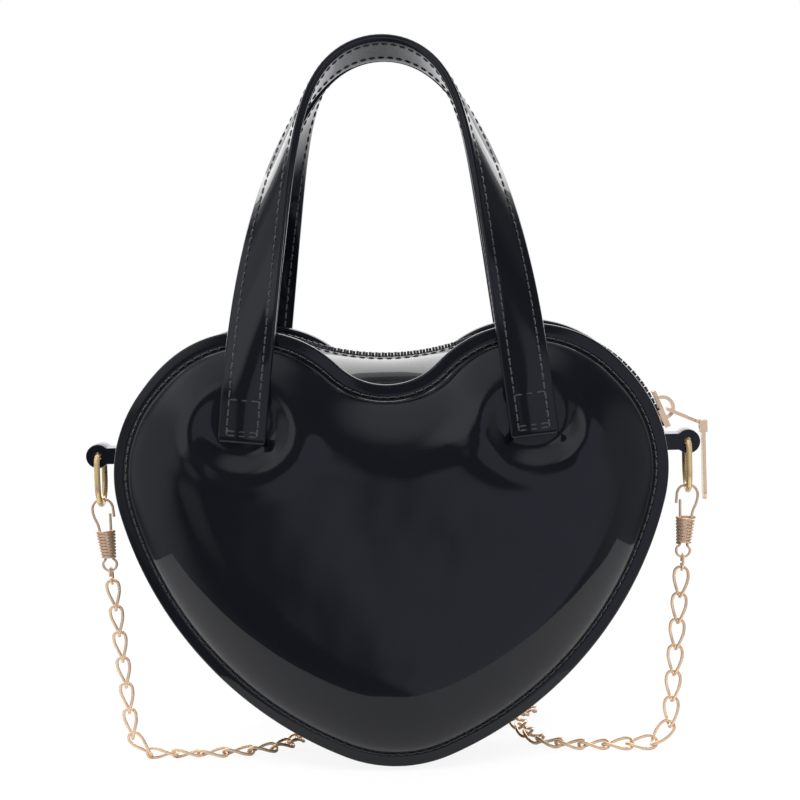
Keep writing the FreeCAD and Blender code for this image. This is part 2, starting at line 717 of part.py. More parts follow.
def least_gap(wire, thickness):
    """Least room between parts of a tube that aren't neighbours along it."""
    count = int(wire.Length / thickness) * LOOKS_PER_THICKNESS
    points = wire.discretize(Number=count)
    apart = 2 * thickness
    step = wire.Length / (count - 1)
    nearest = wire.Length
    for number, here in enumerate(points):
        for other in points[number + math.ceil(apart * math.pi / step):]:
            nearest = min(nearest, here.distanceToPoint(other))
    return nearest - thickness


def tube(edges, thickness):
    """Unbroken round tube along joined edges."""
    wire = Part.Wire(edges)
    first = edges[0]
    way = first.tangentAt(first.FirstParameter)
    circle = Part.Circle(first.valueAt(first.FirstParameter), way, thickness / 2).toShape()
    shell = Part.BRepOffsetAPI.MakePipeShell(wire)
    shell.add(Part.Wire([circle]))
    shell.build()
    shell.makeSolid()
    return shell.shape()


# Spring clasps, measured from the ring's lowest wire and hanging straight down.

HOOK_TOP = (D.ring_wire + D.clasp_wire) / 2 + D.running_gap
HOOK_CENTRE = HOOK_TOP - D.hook_radius
COIL_TOP = HOOK_CENTRE - D.hook_leg
COIL_FOOT = COIL_TOP - COIL_TURNS * D.coil_pitch
EYE_CENTRE = COIL_FOOT - D.eye_neck
EYE_FOOT = EYE_CENTRE - D.eye_radius
JUMP_CENTRE = EYE_FOOT + (D.clasp_wire + D.jump_wire) / 2 + D.link_slack - D.jump_radius
CHAIN_TOP = JUMP_CENTRE - D.jump_radius + (D.jump_wire + D.link_wire) / 2 + D.link_slack
LEG_ROOM = (D.coil_wire + D.clasp_wire) / 2 + D.link_slack
HANG = FreeCAD.Rotation(BACKWARD, DROP_LEAN)


def hook_path():
    """Hook from its tip over the ring, down through the coil, round the eye and back up."""
    down = V(0, -1, 0)
    radius = D.hook_radius
    left = V(-radius, HOOK_CENTRE, 0)
    right = V(radius, HOOK_CENTRE, 0)
    leg_top = V(D.coil_top_radius - LEG_ROOM, COIL_TOP, 0)
    leg_foot = V(D.coil_foot_radius - LEG_ROOM, COIL_FOOT, 0)
    eye_right = V(D.eye_radius, EYE_CENTRE, 0)
    tail = flipped(leg_foot) + V(0, D.clasp_wire, 0)
    path = [Part.LineSegment(left + down * D.hook_tip_drop, left),
            Part.Arc(left, V(0, HOOK_TOP, 0), right)]
    path += biarc(right, down, leg_top, down)
    path += biarc(leg_top, down, leg_foot, down)
    path += biarc(leg_foot, down, eye_right, down)
    path.append(Part.Arc(eye_right, V(0, EYE_FOOT, 0), flipped(eye_right)))
    path += biarc(flipped(eye_right), -down, flipped(leg_foot), -down)
    path.append(Part.LineSegment(flipped(leg_foot), tail))
    return path


HOOK_TIP = V(-D.hook_radius, HOOK_CENTRE - D.hook_tip_drop, 0)


def build_hook(side):
    path = hook_path()
    for edge in path:
        edge.translate(-HOOK_TIP)
    body = wire_body(side + "_clasp_hook", path, "clasp_wire", "XZ_Plane", "XY_Plane")
    tip = HANG.multVec(V(HOOK_TIP.x, 0, HOOK_TIP.y))
    keep(at_side(side, body, RING_FOOT + tip, HANG), side + "_clasp_hook")


def coil_point(turns):
    """Place and direction on the coil, which narrows downward."""
    share = turns / COIL_TURNS
    radius = D.coil_top_radius + (D.coil_foot_radius - D.coil_top_radius) * share
    swing = 2 * math.pi * turns
    place = V(radius * math.cos(swing), radius * math.sin(swing), COIL_TOP - turns * D.coil_pitch)
    way = V(-math.sin(swing) * radius, math.cos(swing) * radius, -D.coil_pitch / (2 * math.pi))
    return place, way.normalize()


def build_coils():
    """Tapered spring round the clasp's legs, one unbroken wire with straight ends."""
    quarters = int(COIL_TURNS * QUARTERS)
    stations = [coil_point(number / QUARTERS) for number in range(quarters + 1)]
    edges = []
    for (first, first_way), (last, last_way) in zip(stations, stations[1:]):
        edges += biarc(first, first_way, last, last_way)
    head, head_way = stations[0]
    foot, foot_way = stations[-1]
    edges.insert(0, Part.LineSegment(head - head_way * D.coil_wire, head))
    edges.append(Part.LineSegment(foot, foot + foot_way * D.coil_wire))
    shapes = [edge.toShape() for edge in edges]
    print("clasp coil: least gap to itself %.2f mm" % least_gap(Part.Wire(shapes), D.coil_wire))
    coil = tube(shapes, D.coil_wire)
    for side in SIDES:
        thing = feature(side + "_clasp_coil", coil)
        at_side(side, thing, RING_FOOT, HANG)


def build_gate(side):
    """Springy wire that closes the hook, leaning from inside the coil to the hook's tip."""
    depth = D.gate_root / (COIL_TURNS * D.coil_pitch)
    coil = D.coil_top_radius + (D.coil_foot_radius - D.coil_top_radius) * depth
    root = V(D.running_gap + (D.coil_wire + D.clasp_wire) / 2 - coil, 0, COIL_TOP - D.gate_root)
    tip = V(D.clasp_wire + D.running_gap - D.hook_radius, 0, COIL_TOP + D.gate_rise)
    gate = DOC.addObject("Part::Cylinder", side + "_clasp_gate")
    bind(gate, Radius="clasp_wire / 2", Height="gate_root + gate_rise")
    turn = HANG.multiply(FreeCAD.Rotation(UPWARD, tip - root))
    at_side(side, gate, RING_FOOT + HANG.multVec(root), turn)
    keep(gate, side + "_clasp_gate")


def build_jump_ring(side):
    """Small open ring between the clasp's eye and the chain."""
    ring = DOC.addObject("Part::Torus", side + "_jump_ring")
    bind(ring, Radius1="jump_radius", Radius2="jump_wire / 2",
         Angle3="360 - 180 * jump_slit / ( pi * jump_radius )")
    turn = HANG.multiply(FreeCAD.Rotation(BACKWARD, UPWARD, SIDEWAYS, "XYZ"))
    at_side(side, ring, RING_FOOT + HANG.multVec(UPWARD * JUMP_CENTRE), turn)
    keep(ring, side + "_jump_ring")


# Chain strap of twisted links: a drop at each side, two runs on the floor and a hank behind.

FLOOR = -D.gusset_puff
HANK_REST = FLOOR + D.hank_wire / 2
LINK_REACH = D.link_half_length + D.link_wire / 2 - D.link_pitch / 2


def swept_arc(arc, wire):
    """Round wire along one arc."""
    edge = arc.toShape()
    way = edge.tangentAt(edge.FirstParameter)
    circle = Part.Circle(edge.valueAt(edge.FirstParameter), way, wire / 2).toShape()
    angle = math.degrees(edge.LastParameter - edge.FirstParameter)
    return Part.Face(Part.Wire([circle])).revolve(edge.Curve.Center, edge.Curve.Axis, angle)


def link_point(swing):
    """Place and direction on an oval along X, twisted so that its ends stand square to each other."""
    twist = math.radians(LINK_TWIST)
    turn = twist * math.cos(swing)
    side = V(0, math.cos(turn), math.sin(turn))
    lean = V(0, -math.sin(turn), math.cos(turn)) * (twist * math.sin(swing) ** 2)
    place = SIDEWAYS * (D.link_half_length * math.cos(swing)) + side * (D.link_half_width * math.sin(swing))
    way = (side * math.cos(swing) - lean) * D.link_half_width
    return place, (way - SIDEWAYS * (D.link_half_length * math.sin(swing))).normalize()


def chain_link():
    """Twisted oval link of round wire, from arcs that meet smoothly."""
    stations = [link_point(math.pi / 2 * quarter) for quarter in range(QUARTERS + 1)]
    arcs = []
    for (first, first_way), (last, last_way) in zip(stations, stations[1:]):
        arcs += biarc(first, first_way, last, last_way)
    pieces = [swept_arc(arc, D.link_wire) for arc in arcs]
    return one_solid(pieces[0].fuse(pieces[1:]))


LINK = chain_link()
CHAIN_REST = FLOOR + LINK.BoundBox.ZLength / 2


def linked(points, rolls, side=None):
    """Links from point to point, each rolled about its own length from lying flat."""
    links = []
    for first, last, roll in zip(points, points[1:], rolls):
        along = (last - first).normalize()
        flat = side if side else along.cross(UPWARD).normalize()
        across = FreeCAD.Rotation(along, roll).multVec(flat)
        links.append(framed(LINK, (first + last) / 2, along, across, along.cross(across)))
    return Part.makeCompound(links)


def chain_head():
    """First meeting point of the chain below the jump ring."""
    return CHAIN_TOP - D.link_half_length + D.link_pitch / 2


def drop_links():
    """How many links hang freely before the chain meets the floor."""
    fall = RING_FOOT.z - CHAIN_REST - D.corner_lift
    return int((fall / math.cos(math.radians(DROP_LEAN)) + chain_head()) / D.link_pitch)


def build_drop(side):
    """Links that hang from the jump ring."""
    count = drop_links()
    points = [UPWARD * (chain_head() - number * D.link_pitch) for number in range(count + 1)]
    links = linked(points, [-LINK_TWIST] * count, BACKWARD)
    at_side(side, feature(side + "_chain_drop", links), RING_FOOT, HANG)


def drop_foot(side):
    """Where a drop meets the run on the floor."""
    below = UPWARD * (chain_head() - drop_links() * D.link_pitch)
    return half_turn(side).multVec(RING_FOOT + HANG.multVec(below))


def floor_start(side):
    """First point of a run near the floor, one slack link from the drop's foot."""
    foot = drop_foot(side)
    reach = D.link_pitch - D.corner_slack
    height = max(CHAIN_REST + D.corner_lift, foot.z - reach * CORNER_FALL_SHARE)
    inward = math.sqrt(reach ** 2 - (foot.z - height) ** 2)
    return V(foot.x - math.copysign(inward, foot.x), foot.y, height)


def build_run(side, goal):
    """Links from a drop's foot along the floor to the hank."""
    places = [floor_start(side)]
    places += [V(across, back, CHAIN_REST + lift) for across, back, lift in RUN_POINTS[side]]
    curve = Part.BSplineCurve()
    curve.interpolate(places + [goal])
    edge = curve.toShape()
    count = math.ceil(edge.Length / D.link_pitch)
    points = [drop_foot(side)] + edge.discretize(Number=count + 1)
    rolls = [min(0, ROLL_STEP * number - LINK_TWIST) for number in range(len(points))]
    feature(side + "_chain_run", linked(points, rolls))


def hank_strand(number):
    """Start, end and direction of one straight strand of the hank."""
    turned = number - CLIMB_AFTER
    steps = number if turned < 0 else CLIMB_AFTER - 1 - turned
    radius = D.hank_radius - D.hank_step * steps
    height = HANK_REST + (0 if turned < 0 else D.hank_layer)
    front = number % 2 == 0
    way = SIDEWAYS if front else -SIDEWAYS
    middle = V(D.hank_shift, D.hank_setback - radius if front else D.hank_setback + radius, height)
    return middle - way * D.hank_straight, middle + way * D.hank_straight, way


def hank_edges():
    """Strands joined by half turns, which climb a layer where the spiral turns outward."""
    strands = [hank_strand(number) for number in range(HANK_HALF_TURNS)]
    edges = []
    for (start, end, way), (next_start, _, next_way) in zip(strands, strands[1:]):
        edges.append(Part.LineSegment(start, end))
        radius = (next_start - end).dot(BACKWARD) / 2
        middle = (end + next_start) / 2 + way * abs(radius)
        climb = (next_start.z - end.z) / (math.pi * radius)
        slope = (BACKWARD + UPWARD * climb).normalize() * math.copysign(1, radius)
        edges += biarc(end, way, middle, slope)
        edges += biarc(middle, slope, next_start, next_way)
    start, end, _ = strands[-1]
    edges.append(Part.LineSegment(start, end))
    return edges


def build_hank():
    """Rest of the chain in a hank behind the bag, drawn as one unbroken tube of its thickness."""
    edges = hank_edges()
    gap = SIDEWAYS * (LINK_REACH + D.hank_gap)
    first = edges[0]
    last = edges[-1]
    edges[0] = Part.LineSegment(first.StartPoint + gap, first.EndPoint)
    edges[-1] = Part.LineSegment(last.StartPoint, last.EndPoint - gap)
    shapes = [edge.toShape() for edge in edges]
    print("chain hank: least gap to itself %.2f mm" % least_gap(Part.Wire(shapes), D.hank_wire))
    feature("chain_hank", tube(shapes, D.hank_wire))
    build_run("left", first.StartPoint)
    build_run("right", last.EndPoint)


# Handles: sewn ends with patches behind them, and twisted straps of three layers.

ARCH_RISE = D.grip_height + D.strap_wall / 2 - D.handle_end_height
HINGE_HEIGHT = D.handle_end_height + D.sewn_length
STRAP_DEPTH = PANEL_FACE + D.strap_wall / 2 + D.running_gap


def arch_fall(across_share):
    """How far the strap has fallen from its top, as a share of its rise."""
    across = abs(across_share)
    return ARCH_ROUND_SHARE * across ** 2 + ARCH_LEG_SHARE * across ** ARCH_LEG_POWER


def hinge_share():
    """Where along its half width the strap leaves the sewn end, found by halving."""
    low, high = 0.0, 1.0
    wanted = 1 - D.sewn_length / ARCH_RISE
    for _ in range(HALVINGS):
        middle = (low + high) / 2
        low, high = (middle, high) if arch_fall(middle) < wanted else (low, middle)
    return low


HINGE_SHARE = hinge_share()


def strap_rise_share(across_share):
    """Height above the hinge as a share of the way to the top."""
    whole = arch_fall(HINGE_SHARE)
    return max(0.0, (whole - arch_fall(across_share)) / whole)


def strap_place(across_share):
    """Middle of the strap, leaning in from the panel's face to the middle plane."""
    lean = strap_rise_share(across_share) ** LEAN_POWER
    depth = STRAP_DEPTH + (D.apex_setback - STRAP_DEPTH) * lean
    height = D.handle_end_height + ARCH_RISE * (1 - arch_fall(across_share))
    return V(D.handle_spread * across_share, -depth, height)


def strap_section(across_share, low, high, width):
    """Rectangle across the strap between two distances from its middle layer."""
    place = strap_place(across_share)
    ahead = strap_place(across_share - NUDGE_SHARE)
    behind = strap_place(across_share + NUDGE_SHARE)
    along = (ahead - behind).normalize()
    twist = 90 - (90 + APEX_TILT) * strap_rise_share(across_share) ** TWIST_POWER
    if abs(across_share) >= HINGE_SHARE:
        along = UPWARD * math.copysign(1, across_share)
    front = (-BACKWARD + along * BACKWARD.dot(along)).normalize()
    outward = along.cross(front)
    face = outward * math.cos(math.radians(twist)) + front * math.sin(math.radians(twist))
    across = along.cross(face) * (width / 2)
    corners = [place + face * low - across, place + face * low + across,
               place + face * high + across, place + face * high - across]
    return Part.makePolygon(corners + corners[:1])


def strap_layer(low, high, width):
    """One layer of the strap from the right end over the top to the left end."""
    half = [math.sin(math.pi / 2 * step / ARCH_STATIONS) for step in range(1, ARCH_STATIONS + 1)]
    shares = [HINGE_SHARE * share for share in half[::-1] + [0] + [-share for share in half]]
    return Part.makeLoft([strap_section(share, low, high, width) for share in shares], True)


def strap_nose(side):
    """Rounded end of the filler, on which the strap folds."""
    centre = strap_place(side * HINGE_SHARE)
    start = centre - SIDEWAYS * (D.strap_width / 2)
    whole = Part.makeCylinder(D.strap_wall / 2, D.strap_width, start, SIDEWAYS)
    low = start - V(0, D.strap_wall, D.strap_wall)
    return whole.common(block(low, V(start.x + D.strap_width, start.y + D.strap_wall, start.z)))


def build_straps():
    half = D.strap_wall / 2
    core = D.core_wall / 2
    cover = strap_layer(half - D.cover_wall, half, D.strap_width).Solids[0]
    lining = strap_layer(-half, D.cover_wall - half, D.strap_width).Solids[0]
    filler = strap_layer(-core, core, D.core_width).fuse([strap_nose(1), strap_nose(-1)])
    pair("handle_cover", cover)
    pair("handle_filler", one_solid(filler.cut([cover, lining])))
    pair("handle_lining", lining)


def build_handle_ends(face):
    """Sewn ends flat on the panel, splayed outward towards their feet, and their patches."""
    top = HINGE_HEIGHT - D.strap_wall / 2 - D.layer_gap
    half = D.strap_width / 2
    low = D.handle_end_height
    for side in SIDES:
        sign = 1 if (side == "right") == (face == "front") else -1
        head = sign * D.handle_spread * HINGE_SHARE
        foot = sign * D.handle_spread
        slant = half * (foot - head) / D.sewn_length
        corners = [(head - half, top), (foot - half, low - slant),
                   (foot + half, low + slant), (head + half, top)]
        body = new_body("%s_%s_handle_end" % (face, side))
        pad(body, sketch_on(body, "XZ_Plane", outline(corners), PANEL_FACE), "strap_wall")
        keep(seat(body, turn=half_turn(face)), body.Name)
        patch = DOC.addObject("Part::Box", "%s_%s_handle_patch" % (face, side))
        bind(patch, Length="backing_width", Width="backing_wall", Height="backing_height")
        depth = D.sheet_wall + D.layer_gap - PANEL_FACE
        corner = V(foot - D.backing_width / 2, depth, low - D.backing_drop)
        turn = half_turn(face)
        keep(seat(patch, turn.multVec(corner), turn), patch.Name)


def check_all():
    """Every object has recomputed and every sub-part is a sound shape."""
    DOC.recompute()
    for thing in DOC.Objects:
        if "Invalid" in thing.State or "Error" in thing.State:
            raise RuntimeError("%s is %s" % (thing.Name, thing.State))
    for thing in NODES:
        if thing.Shape.isNull() or not thing.Shape.isValid() or not thing.Shape.Solids:
            raise RuntimeError("%s has no sound shape" % thing.Label)


def write_all():
    os.makedirs("parts", exist_ok=True)
    for thing in NODES:
        thing.Shape.exportStep("parts/%s.step" % thing.Label)


build_panels()
build_gusset()
build_gusset_lining()
build_tapes()
build_teeth()
build_stop()
build_slider()
build_pull_link()
build_pull_pin()
build_pull_tab()
for hand in SIDES:
    build_tab(hand)
    build_ring(hand)
    build_hook(hand)
    build_gate(hand)
    build_jump_ring(hand)
    build_drop(hand)
build_coils()
build_hank()
build_straps()
for panel in ("front", "back"):
    build_handle_ends(panel)
check_all()
write_all()
print("%d sub-parts written" % len(NODES))
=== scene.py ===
import bmesh
import bpy
import json
import math
import numpy as np
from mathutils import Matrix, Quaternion, Vector


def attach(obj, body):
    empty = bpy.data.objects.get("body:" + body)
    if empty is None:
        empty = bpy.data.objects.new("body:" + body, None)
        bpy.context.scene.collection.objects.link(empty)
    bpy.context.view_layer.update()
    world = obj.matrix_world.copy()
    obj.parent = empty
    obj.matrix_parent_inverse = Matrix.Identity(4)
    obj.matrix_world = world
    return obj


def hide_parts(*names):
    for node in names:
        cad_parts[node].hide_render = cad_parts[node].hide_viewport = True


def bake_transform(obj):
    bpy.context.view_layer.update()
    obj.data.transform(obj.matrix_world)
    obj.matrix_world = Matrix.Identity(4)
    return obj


# Heart shaped purse in black patent sheet: padded panels, stitched gusset, straps, zip and chain.
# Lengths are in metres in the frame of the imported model, and heights are above the heart's tip.

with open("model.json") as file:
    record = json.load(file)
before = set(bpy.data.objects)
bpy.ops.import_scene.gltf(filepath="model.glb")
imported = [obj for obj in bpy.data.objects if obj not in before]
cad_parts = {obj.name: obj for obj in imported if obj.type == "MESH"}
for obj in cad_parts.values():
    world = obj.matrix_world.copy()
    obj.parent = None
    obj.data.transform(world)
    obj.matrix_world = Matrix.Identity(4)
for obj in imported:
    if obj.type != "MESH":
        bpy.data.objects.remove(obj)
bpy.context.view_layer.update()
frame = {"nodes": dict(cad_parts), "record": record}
MM = 0.001

# Heart outline of the rim.
GRIP_HEIGHT = 258.0 * MM
HEART_HEIGHT = 156.5 * MM
LOBE_SPREAD = 50.0 * MM
LOBE_RADIUS = 49.5 * MM
CLEFT_HEIGHT = 138.0 * MM
ZIP_CLEFT_HEIGHT = 147.5 * MM
SIDE_RADIUS = 135.0 * MM
TIP_RADIUS = 50.0 * MM
CROWN_MIDDLE = 88.0 * MM

# Panels and gusset.
SEAM_DEPTH = 29.0 * MM
SHEET_WALL = 1.3 * MM
FLANGE = 5.0 * MM
EDGE_ROUND = 0.5 * MM
DOME_HEIGHT = 12.0 * MM
DOME_RUN = 22.0 * MM
DOME_POWER = 0.66
FLANGE_RISE = 1.0 * MM
CROWN_EXTRA = 4.0 * MM
CROWN_START = 8.0 * MM
CROWN_RUN = 26.0 * MM
DIMPLE_WIDE = 19.5 * MM
DIMPLE_TALL = 18.0 * MM
DIMPLE_LIFT = 7.0 * MM
DIMPLE_LIP = 0.6 * MM
DIMPLE_MOAT = 0.2 * MM
DIMPLE_PULL_SHARES = (0.56, 1.04)
DIMPLE_LIP_SHARES = (1.25, 0.22)
DIMPLE_MOAT_SHARES = (0.62, 0.2)
RIPPLE = 0.12 * MM
GROOVE = 0.35 * MM
GROOVE_WIDTH = 0.5 * MM
GROOVE_INSET = 4.5 * MM
GUSSET_PUFF = 2.0 * MM
GUSSET_SAG = 1.8 * MM
RIM_LIFT = 2.2 * MM
LIFT_FOOT = 136.0 * MM
STRIP_FOOT = 116.2 * MM
ZIP_SLOT = 11.0 * MM
HEM_WIDTH = 2.4 * MM
TAPE_DROP = 1.4 * MM
TAPE_WALL = 0.6 * MM
TAPE_EDGE = 1.1 * MM
TAPE_WIDTH = 14.0 * MM
TAB_EDGE = 0.6 * MM

# Handles.
STRAP_WIDTH = 17.0 * MM
STRAP_WALL = 3.0 * MM
HANDLE_SPREAD = 51.7 * MM
HANDLE_END_HEIGHT = 119.5 * MM
SEWN_LENGTH = 15.0 * MM
APEX_SETBACK = 9.4 * MM
STRAP_GAP = 0.3 * MM
ARCH_ROUND_SHARE = 0.35
ARCH_LEG_SHARE = 0.65
ARCH_LEG_POWER = 4.5
LEAN_POWER = 1.4
TWIST_POWER = 1.5
APEX_TILT = 22.0
BEND_BELOW = 2.0 * MM
BEND_ABOVE = 8.0 * MM

# Thread.
STITCH_PITCH = 3.3 * MM
STITCH_LENGTH = 2.5 * MM
THREAD = 0.5 * MM
STRAP_STITCH_INSET = 3.1 * MM
STITCH_STATIONS = 7
STITCH_SIDES = 6
STITCH_RISE_SHARE = 0.35
STITCH_DIVE_SHARE = 0.9
STITCH_DIVE_POWER = 3
STITCH_OUT_SHARE = 0.95
STITCH_WIDE_SHARE = 1 - 2 * STRAP_STITCH_INSET / STRAP_WIDTH
END_ROW_SHARES = (0.995, 0.992)
END_ROW_STATIONS = 5

# Fine steps of the meshes.
MERGE_REACH = 0.0001 * MM
TAB_MERGE_REACH = 0.001 * MM
OUT_STEP = 1.0 * MM
ANGLE_SLACK = 1e-6
NUDGE_SHARE = 0.002
HINGE_STATIONS = 5001
ARCH_STATIONS = 4001
ROUND_SIDES = 8

PANEL_BASE = SEAM_DEPTH + SHEET_WALL
PANEL_FACE = PANEL_BASE + DOME_HEIGHT
STRIP_EDGE_SHARE = ZIP_SLOT / 2 / SEAM_DEPTH
LOBE = np.array([LOBE_SPREAD, HEART_HEIGHT - LOBE_RADIUS])
TRACK_LOBE = LOBE - np.array([0.0, GUSSET_SAG])
TIP = np.array([0.0, TIP_RADIUS])
FLIP = np.array([-1.0, 1.0])


def angle_of(start, goal):
    """Angle of the way from one point to another."""
    return math.atan2(goal[1] - start[1], goal[0] - start[0])


def side_centre(lobe):
    """Centre of the right side's arc, which holds the lobe and tip arcs inside it."""
    gap = SIDE_RADIUS - LOBE_RADIUS
    rise = lobe[1] - TIP[1]
    reach = math.hypot(lobe[0], rise)
    against = (reach ** 2 + gap ** 2 - (SIDE_RADIUS - TIP_RADIUS) ** 2) / (2 * gap)
    angle = math.atan2(rise, lobe[0]) - math.acos(against / reach)
    return lobe - gap * np.array([math.cos(angle), math.sin(angle)])


def heart_arcs(inset=0.0, puff=0.0, cleft=CLEFT_HEIGHT, lobe=LOBE):
    """Arcs of the right half from the tip to the cleft: centre, radius, first and last angle."""
    radius = LOBE_RADIUS + puff
    side = side_centre(lobe)
    rise = cleft - lobe[1]
    bend = (lobe[0] ** 2 + rise ** 2 - radius ** 2) / (2 * (radius - rise))
    notch = np.array([0.0, cleft + bend])
    foot = angle_of(side, TIP)
    hip = angle_of(side, lobe)
    return [
        (TIP, TIP_RADIUS + puff - inset, -math.pi / 2, foot),
        (side, SIDE_RADIUS + puff - inset, foot, hip),
        (lobe, radius - inset, hip, angle_of(lobe, notch)),
        (notch, bend + inset, angle_of(notch, lobe), -math.pi / 2),
    ]


ARC_STEPS = (24, 56, 96, 28)


def half_heart(**more):
    """Points of the right half from the tip to the cleft, the same number for each offset."""
    points = []
    for (centre, radius, first, last), steps in zip(heart_arcs(**more), ARC_STEPS):
        angles = first + (last - first) * np.arange(steps) / steps
        points.append(centre + radius * np.stack([np.cos(angles), np.sin(angles)], axis=1))
    centre, radius, _, last = heart_arcs(**more)[-1]
    points.append([centre + radius * np.array([math.cos(last), math.sin(last)])])
    return np.concatenate(points)


def whole_heart(**more):
    """Closed ring of points, up the right half and down the left."""
    right = half_heart(**more)
    return np.concatenate([right, right[-2:0:-1] * FLIP])


def rim_distance(points):
    """Distance from the rim's outline of points inside it."""
    points = np.abs(points * np.array([1.0, 0.0])) + points * np.array([0.0, 1.0])
    nearest = np.full(len(points), LOBE_SPREAD)
    for centre, radius, first, last in heart_arcs():
        offset = points - centre
        angles = np.arctan2(offset[:, 1], offset[:, 0])
        inside = np.abs(angles - (first + last) / 2) <= abs(last - first) / 2 + ANGLE_SLACK
        gap = np.abs(np.hypot(offset[:, 0], offset[:, 1]) - radius)
        nearest = np.where(inside, np.minimum(nearest, gap), nearest)
    return nearest


def smooth(values, low, high):
    """Smooth step from 0 at low to 1 at high."""
    share = np.clip((values - low) / (high - low), 0, 1)
    return share * share * (3 - 2 * share)


# Handle path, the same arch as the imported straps.

ARCH_RISE = GRIP_HEIGHT + STRAP_WALL / 2 - HANDLE_END_HEIGHT
STRAP_DEPTH = PANEL_FACE + STRAP_WALL / 2 + STRAP_GAP


def arch_fall(across_share):
    """Share of the arch's rise by which the strap has fallen at a share of its half width."""
    across = abs(across_share)
    return ARCH_ROUND_SHARE * across ** 2 + ARCH_LEG_SHARE * across ** ARCH_LEG_POWER


def hinge_share():
    """Where along its half width the strap leaves the sewn end."""
    shares = np.linspace(0.5, 1, HINGE_STATIONS)
    return float(np.interp(1 - SEWN_LENGTH / ARCH_RISE, arch_fall(shares), shares))


HINGE_SHARE = hinge_share()
HINGE_HEIGHT = HANDLE_END_HEIGHT + SEWN_LENGTH
HANDLE_ENDS = [np.array([side * HANDLE_SPREAD, HANDLE_END_HEIGHT + DIMPLE_LIFT]) for side in (1, -1)]


# Small tools for meshes and pieces.

def new_object(name, mesh, material):
    """Object at the origin with one material."""
    thing = bpy.data.objects.new(name, mesh)
    bpy.context.scene.collection.objects.link(thing)
    mesh.materials.clear()
    mesh.materials.append(material)
    return thing


def mesh_of(name, points, faces):
    """Smooth mesh of points in the part's frame with its normals outward."""
    mesh = bpy.data.meshes.new(name)
    mesh.from_pydata([tuple(point) for point in points], [], faces)
    mesh.validate()
    work = bmesh.new()
    work.from_mesh(mesh)
    bmesh.ops.remove_doubles(work, verts=work.verts, dist=MERGE_REACH)
    bmesh.ops.recalc_face_normals(work, faces=work.faces)
    work.to_mesh(mesh)
    work.free()
    mesh.shade_smooth()
    return mesh


def grid_faces(rows, columns, loop_rows=False, loop_columns=False, start=0):
    """Quads between the points of a grid that may close on itself either way."""
    faces = []
    for row in range(rows if loop_rows else rows - 1):
        for column in range(columns if loop_columns else columns - 1):
            below = (row + 1) % rows
            beside = (column + 1) % columns
            faces.append((start + row * columns + column, start + row * columns + beside,
                          start + below * columns + beside, start + below * columns + column))
    return faces


def in_row(flat, depth):
    """Points across and up on the heart, at a depth, in the part's frame."""
    depth = np.broadcast_to(depth, len(flat))
    return np.stack([flat[:, 0], depth, flat[:, 1] - GRIP_HEIGHT], axis=1)


def lifted(flat):
    """Points of the soft rim, which stands up a little round the tops of the lobes."""
    lift = RIM_LIFT * smooth(flat[:, 1], LIFT_FOOT, HEART_HEIGHT)
    return flat + np.stack([np.zeros(len(flat)), lift], axis=1)


def rim_row(flat, depth):
    """Points of the soft rim or of what it carries, at a depth."""
    return in_row(lifted(flat), depth)


def turned(points):
    """Points turned half round the upright axis."""
    return points * np.array([-1.0, -1.0, 1.0])


# The back is the front turned half round, and the left side is the right one turned so too.
SIDES = ("right", "left")
FACES = {"front": lambda points: points, "back": turned}
FRONT_WAY = np.array([0.0, -1.0, 0.0])
UP_WAY = np.array([0.0, 0.0, 1.0])


def ride(thing, body):
    """Piece that rides on a body."""
    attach(thing, body)
    return thing


# Materials.

def new_material(name):
    """Material with its nodes, its links and its shader node."""
    material = bpy.data.materials.new(name)
    material.use_nodes = True
    nodes = material.node_tree.nodes
    shader = next(node for node in nodes if node.type == "BSDF_PRINCIPLED")
    return material, nodes, material.node_tree.links, shader


def set_values(node, **values):
    """Set inputs of a node by their names."""
    for name, value in values.items():
        node.inputs[name.replace("_", " ")].default_value = value


def add_noise(nodes, links, scale, detail=2.0, stretch=None):
    """Noise on the object's own coordinates."""
    place = nodes.new("ShaderNodeTexCoord")
    noise = nodes.new("ShaderNodeTexNoise")
    set_values(noise, Scale=scale, Detail=detail)
    source = place.outputs["Object"]
    if stretch:
        mapping = nodes.new("ShaderNodeMapping")
        mapping.inputs["Scale"].default_value = stretch
        links.new(source, mapping.inputs["Vector"])
        source = mapping.outputs["Vector"]
    links.new(source, noise.inputs["Vector"])
    return noise.outputs["Fac"]


def add_ramp(nodes, links, source, first, last):
    """Map a value from 0..1 to a range."""
    ramp = nodes.new("ShaderNodeMapRange")
    set_values(ramp, To_Min=first, To_Max=last)
    links.new(source, ramp.inputs["Value"])
    return ramp.outputs["Result"]


def add_bump(nodes, links, source, shader, distance, strength=1.0, before=None, socket="Normal"):
    """Bumps by a value, on top of those before."""
    bump = nodes.new("ShaderNodeBump")
    set_values(bump, Distance=distance, Strength=strength)
    links.new(source, bump.inputs["Height"])
    if before:
        links.new(before, bump.inputs["Normal"])
    links.new(bump.outputs["Normal"], shader.inputs[socket])
    return bump.outputs["Normal"]


def add_tint(nodes, links, source, shader, dark, light):
    """Colour between two tones by a value."""
    ramp = nodes.new("ShaderNodeValToRGB")
    ramp.color_ramp.elements[0].color = (*dark, 1)
    ramp.color_ramp.elements[1].color = (*light, 1)
    links.new(source, ramp.inputs["Fac"])
    links.new(ramp.outputs["Color"], shader.inputs["Base Color"])


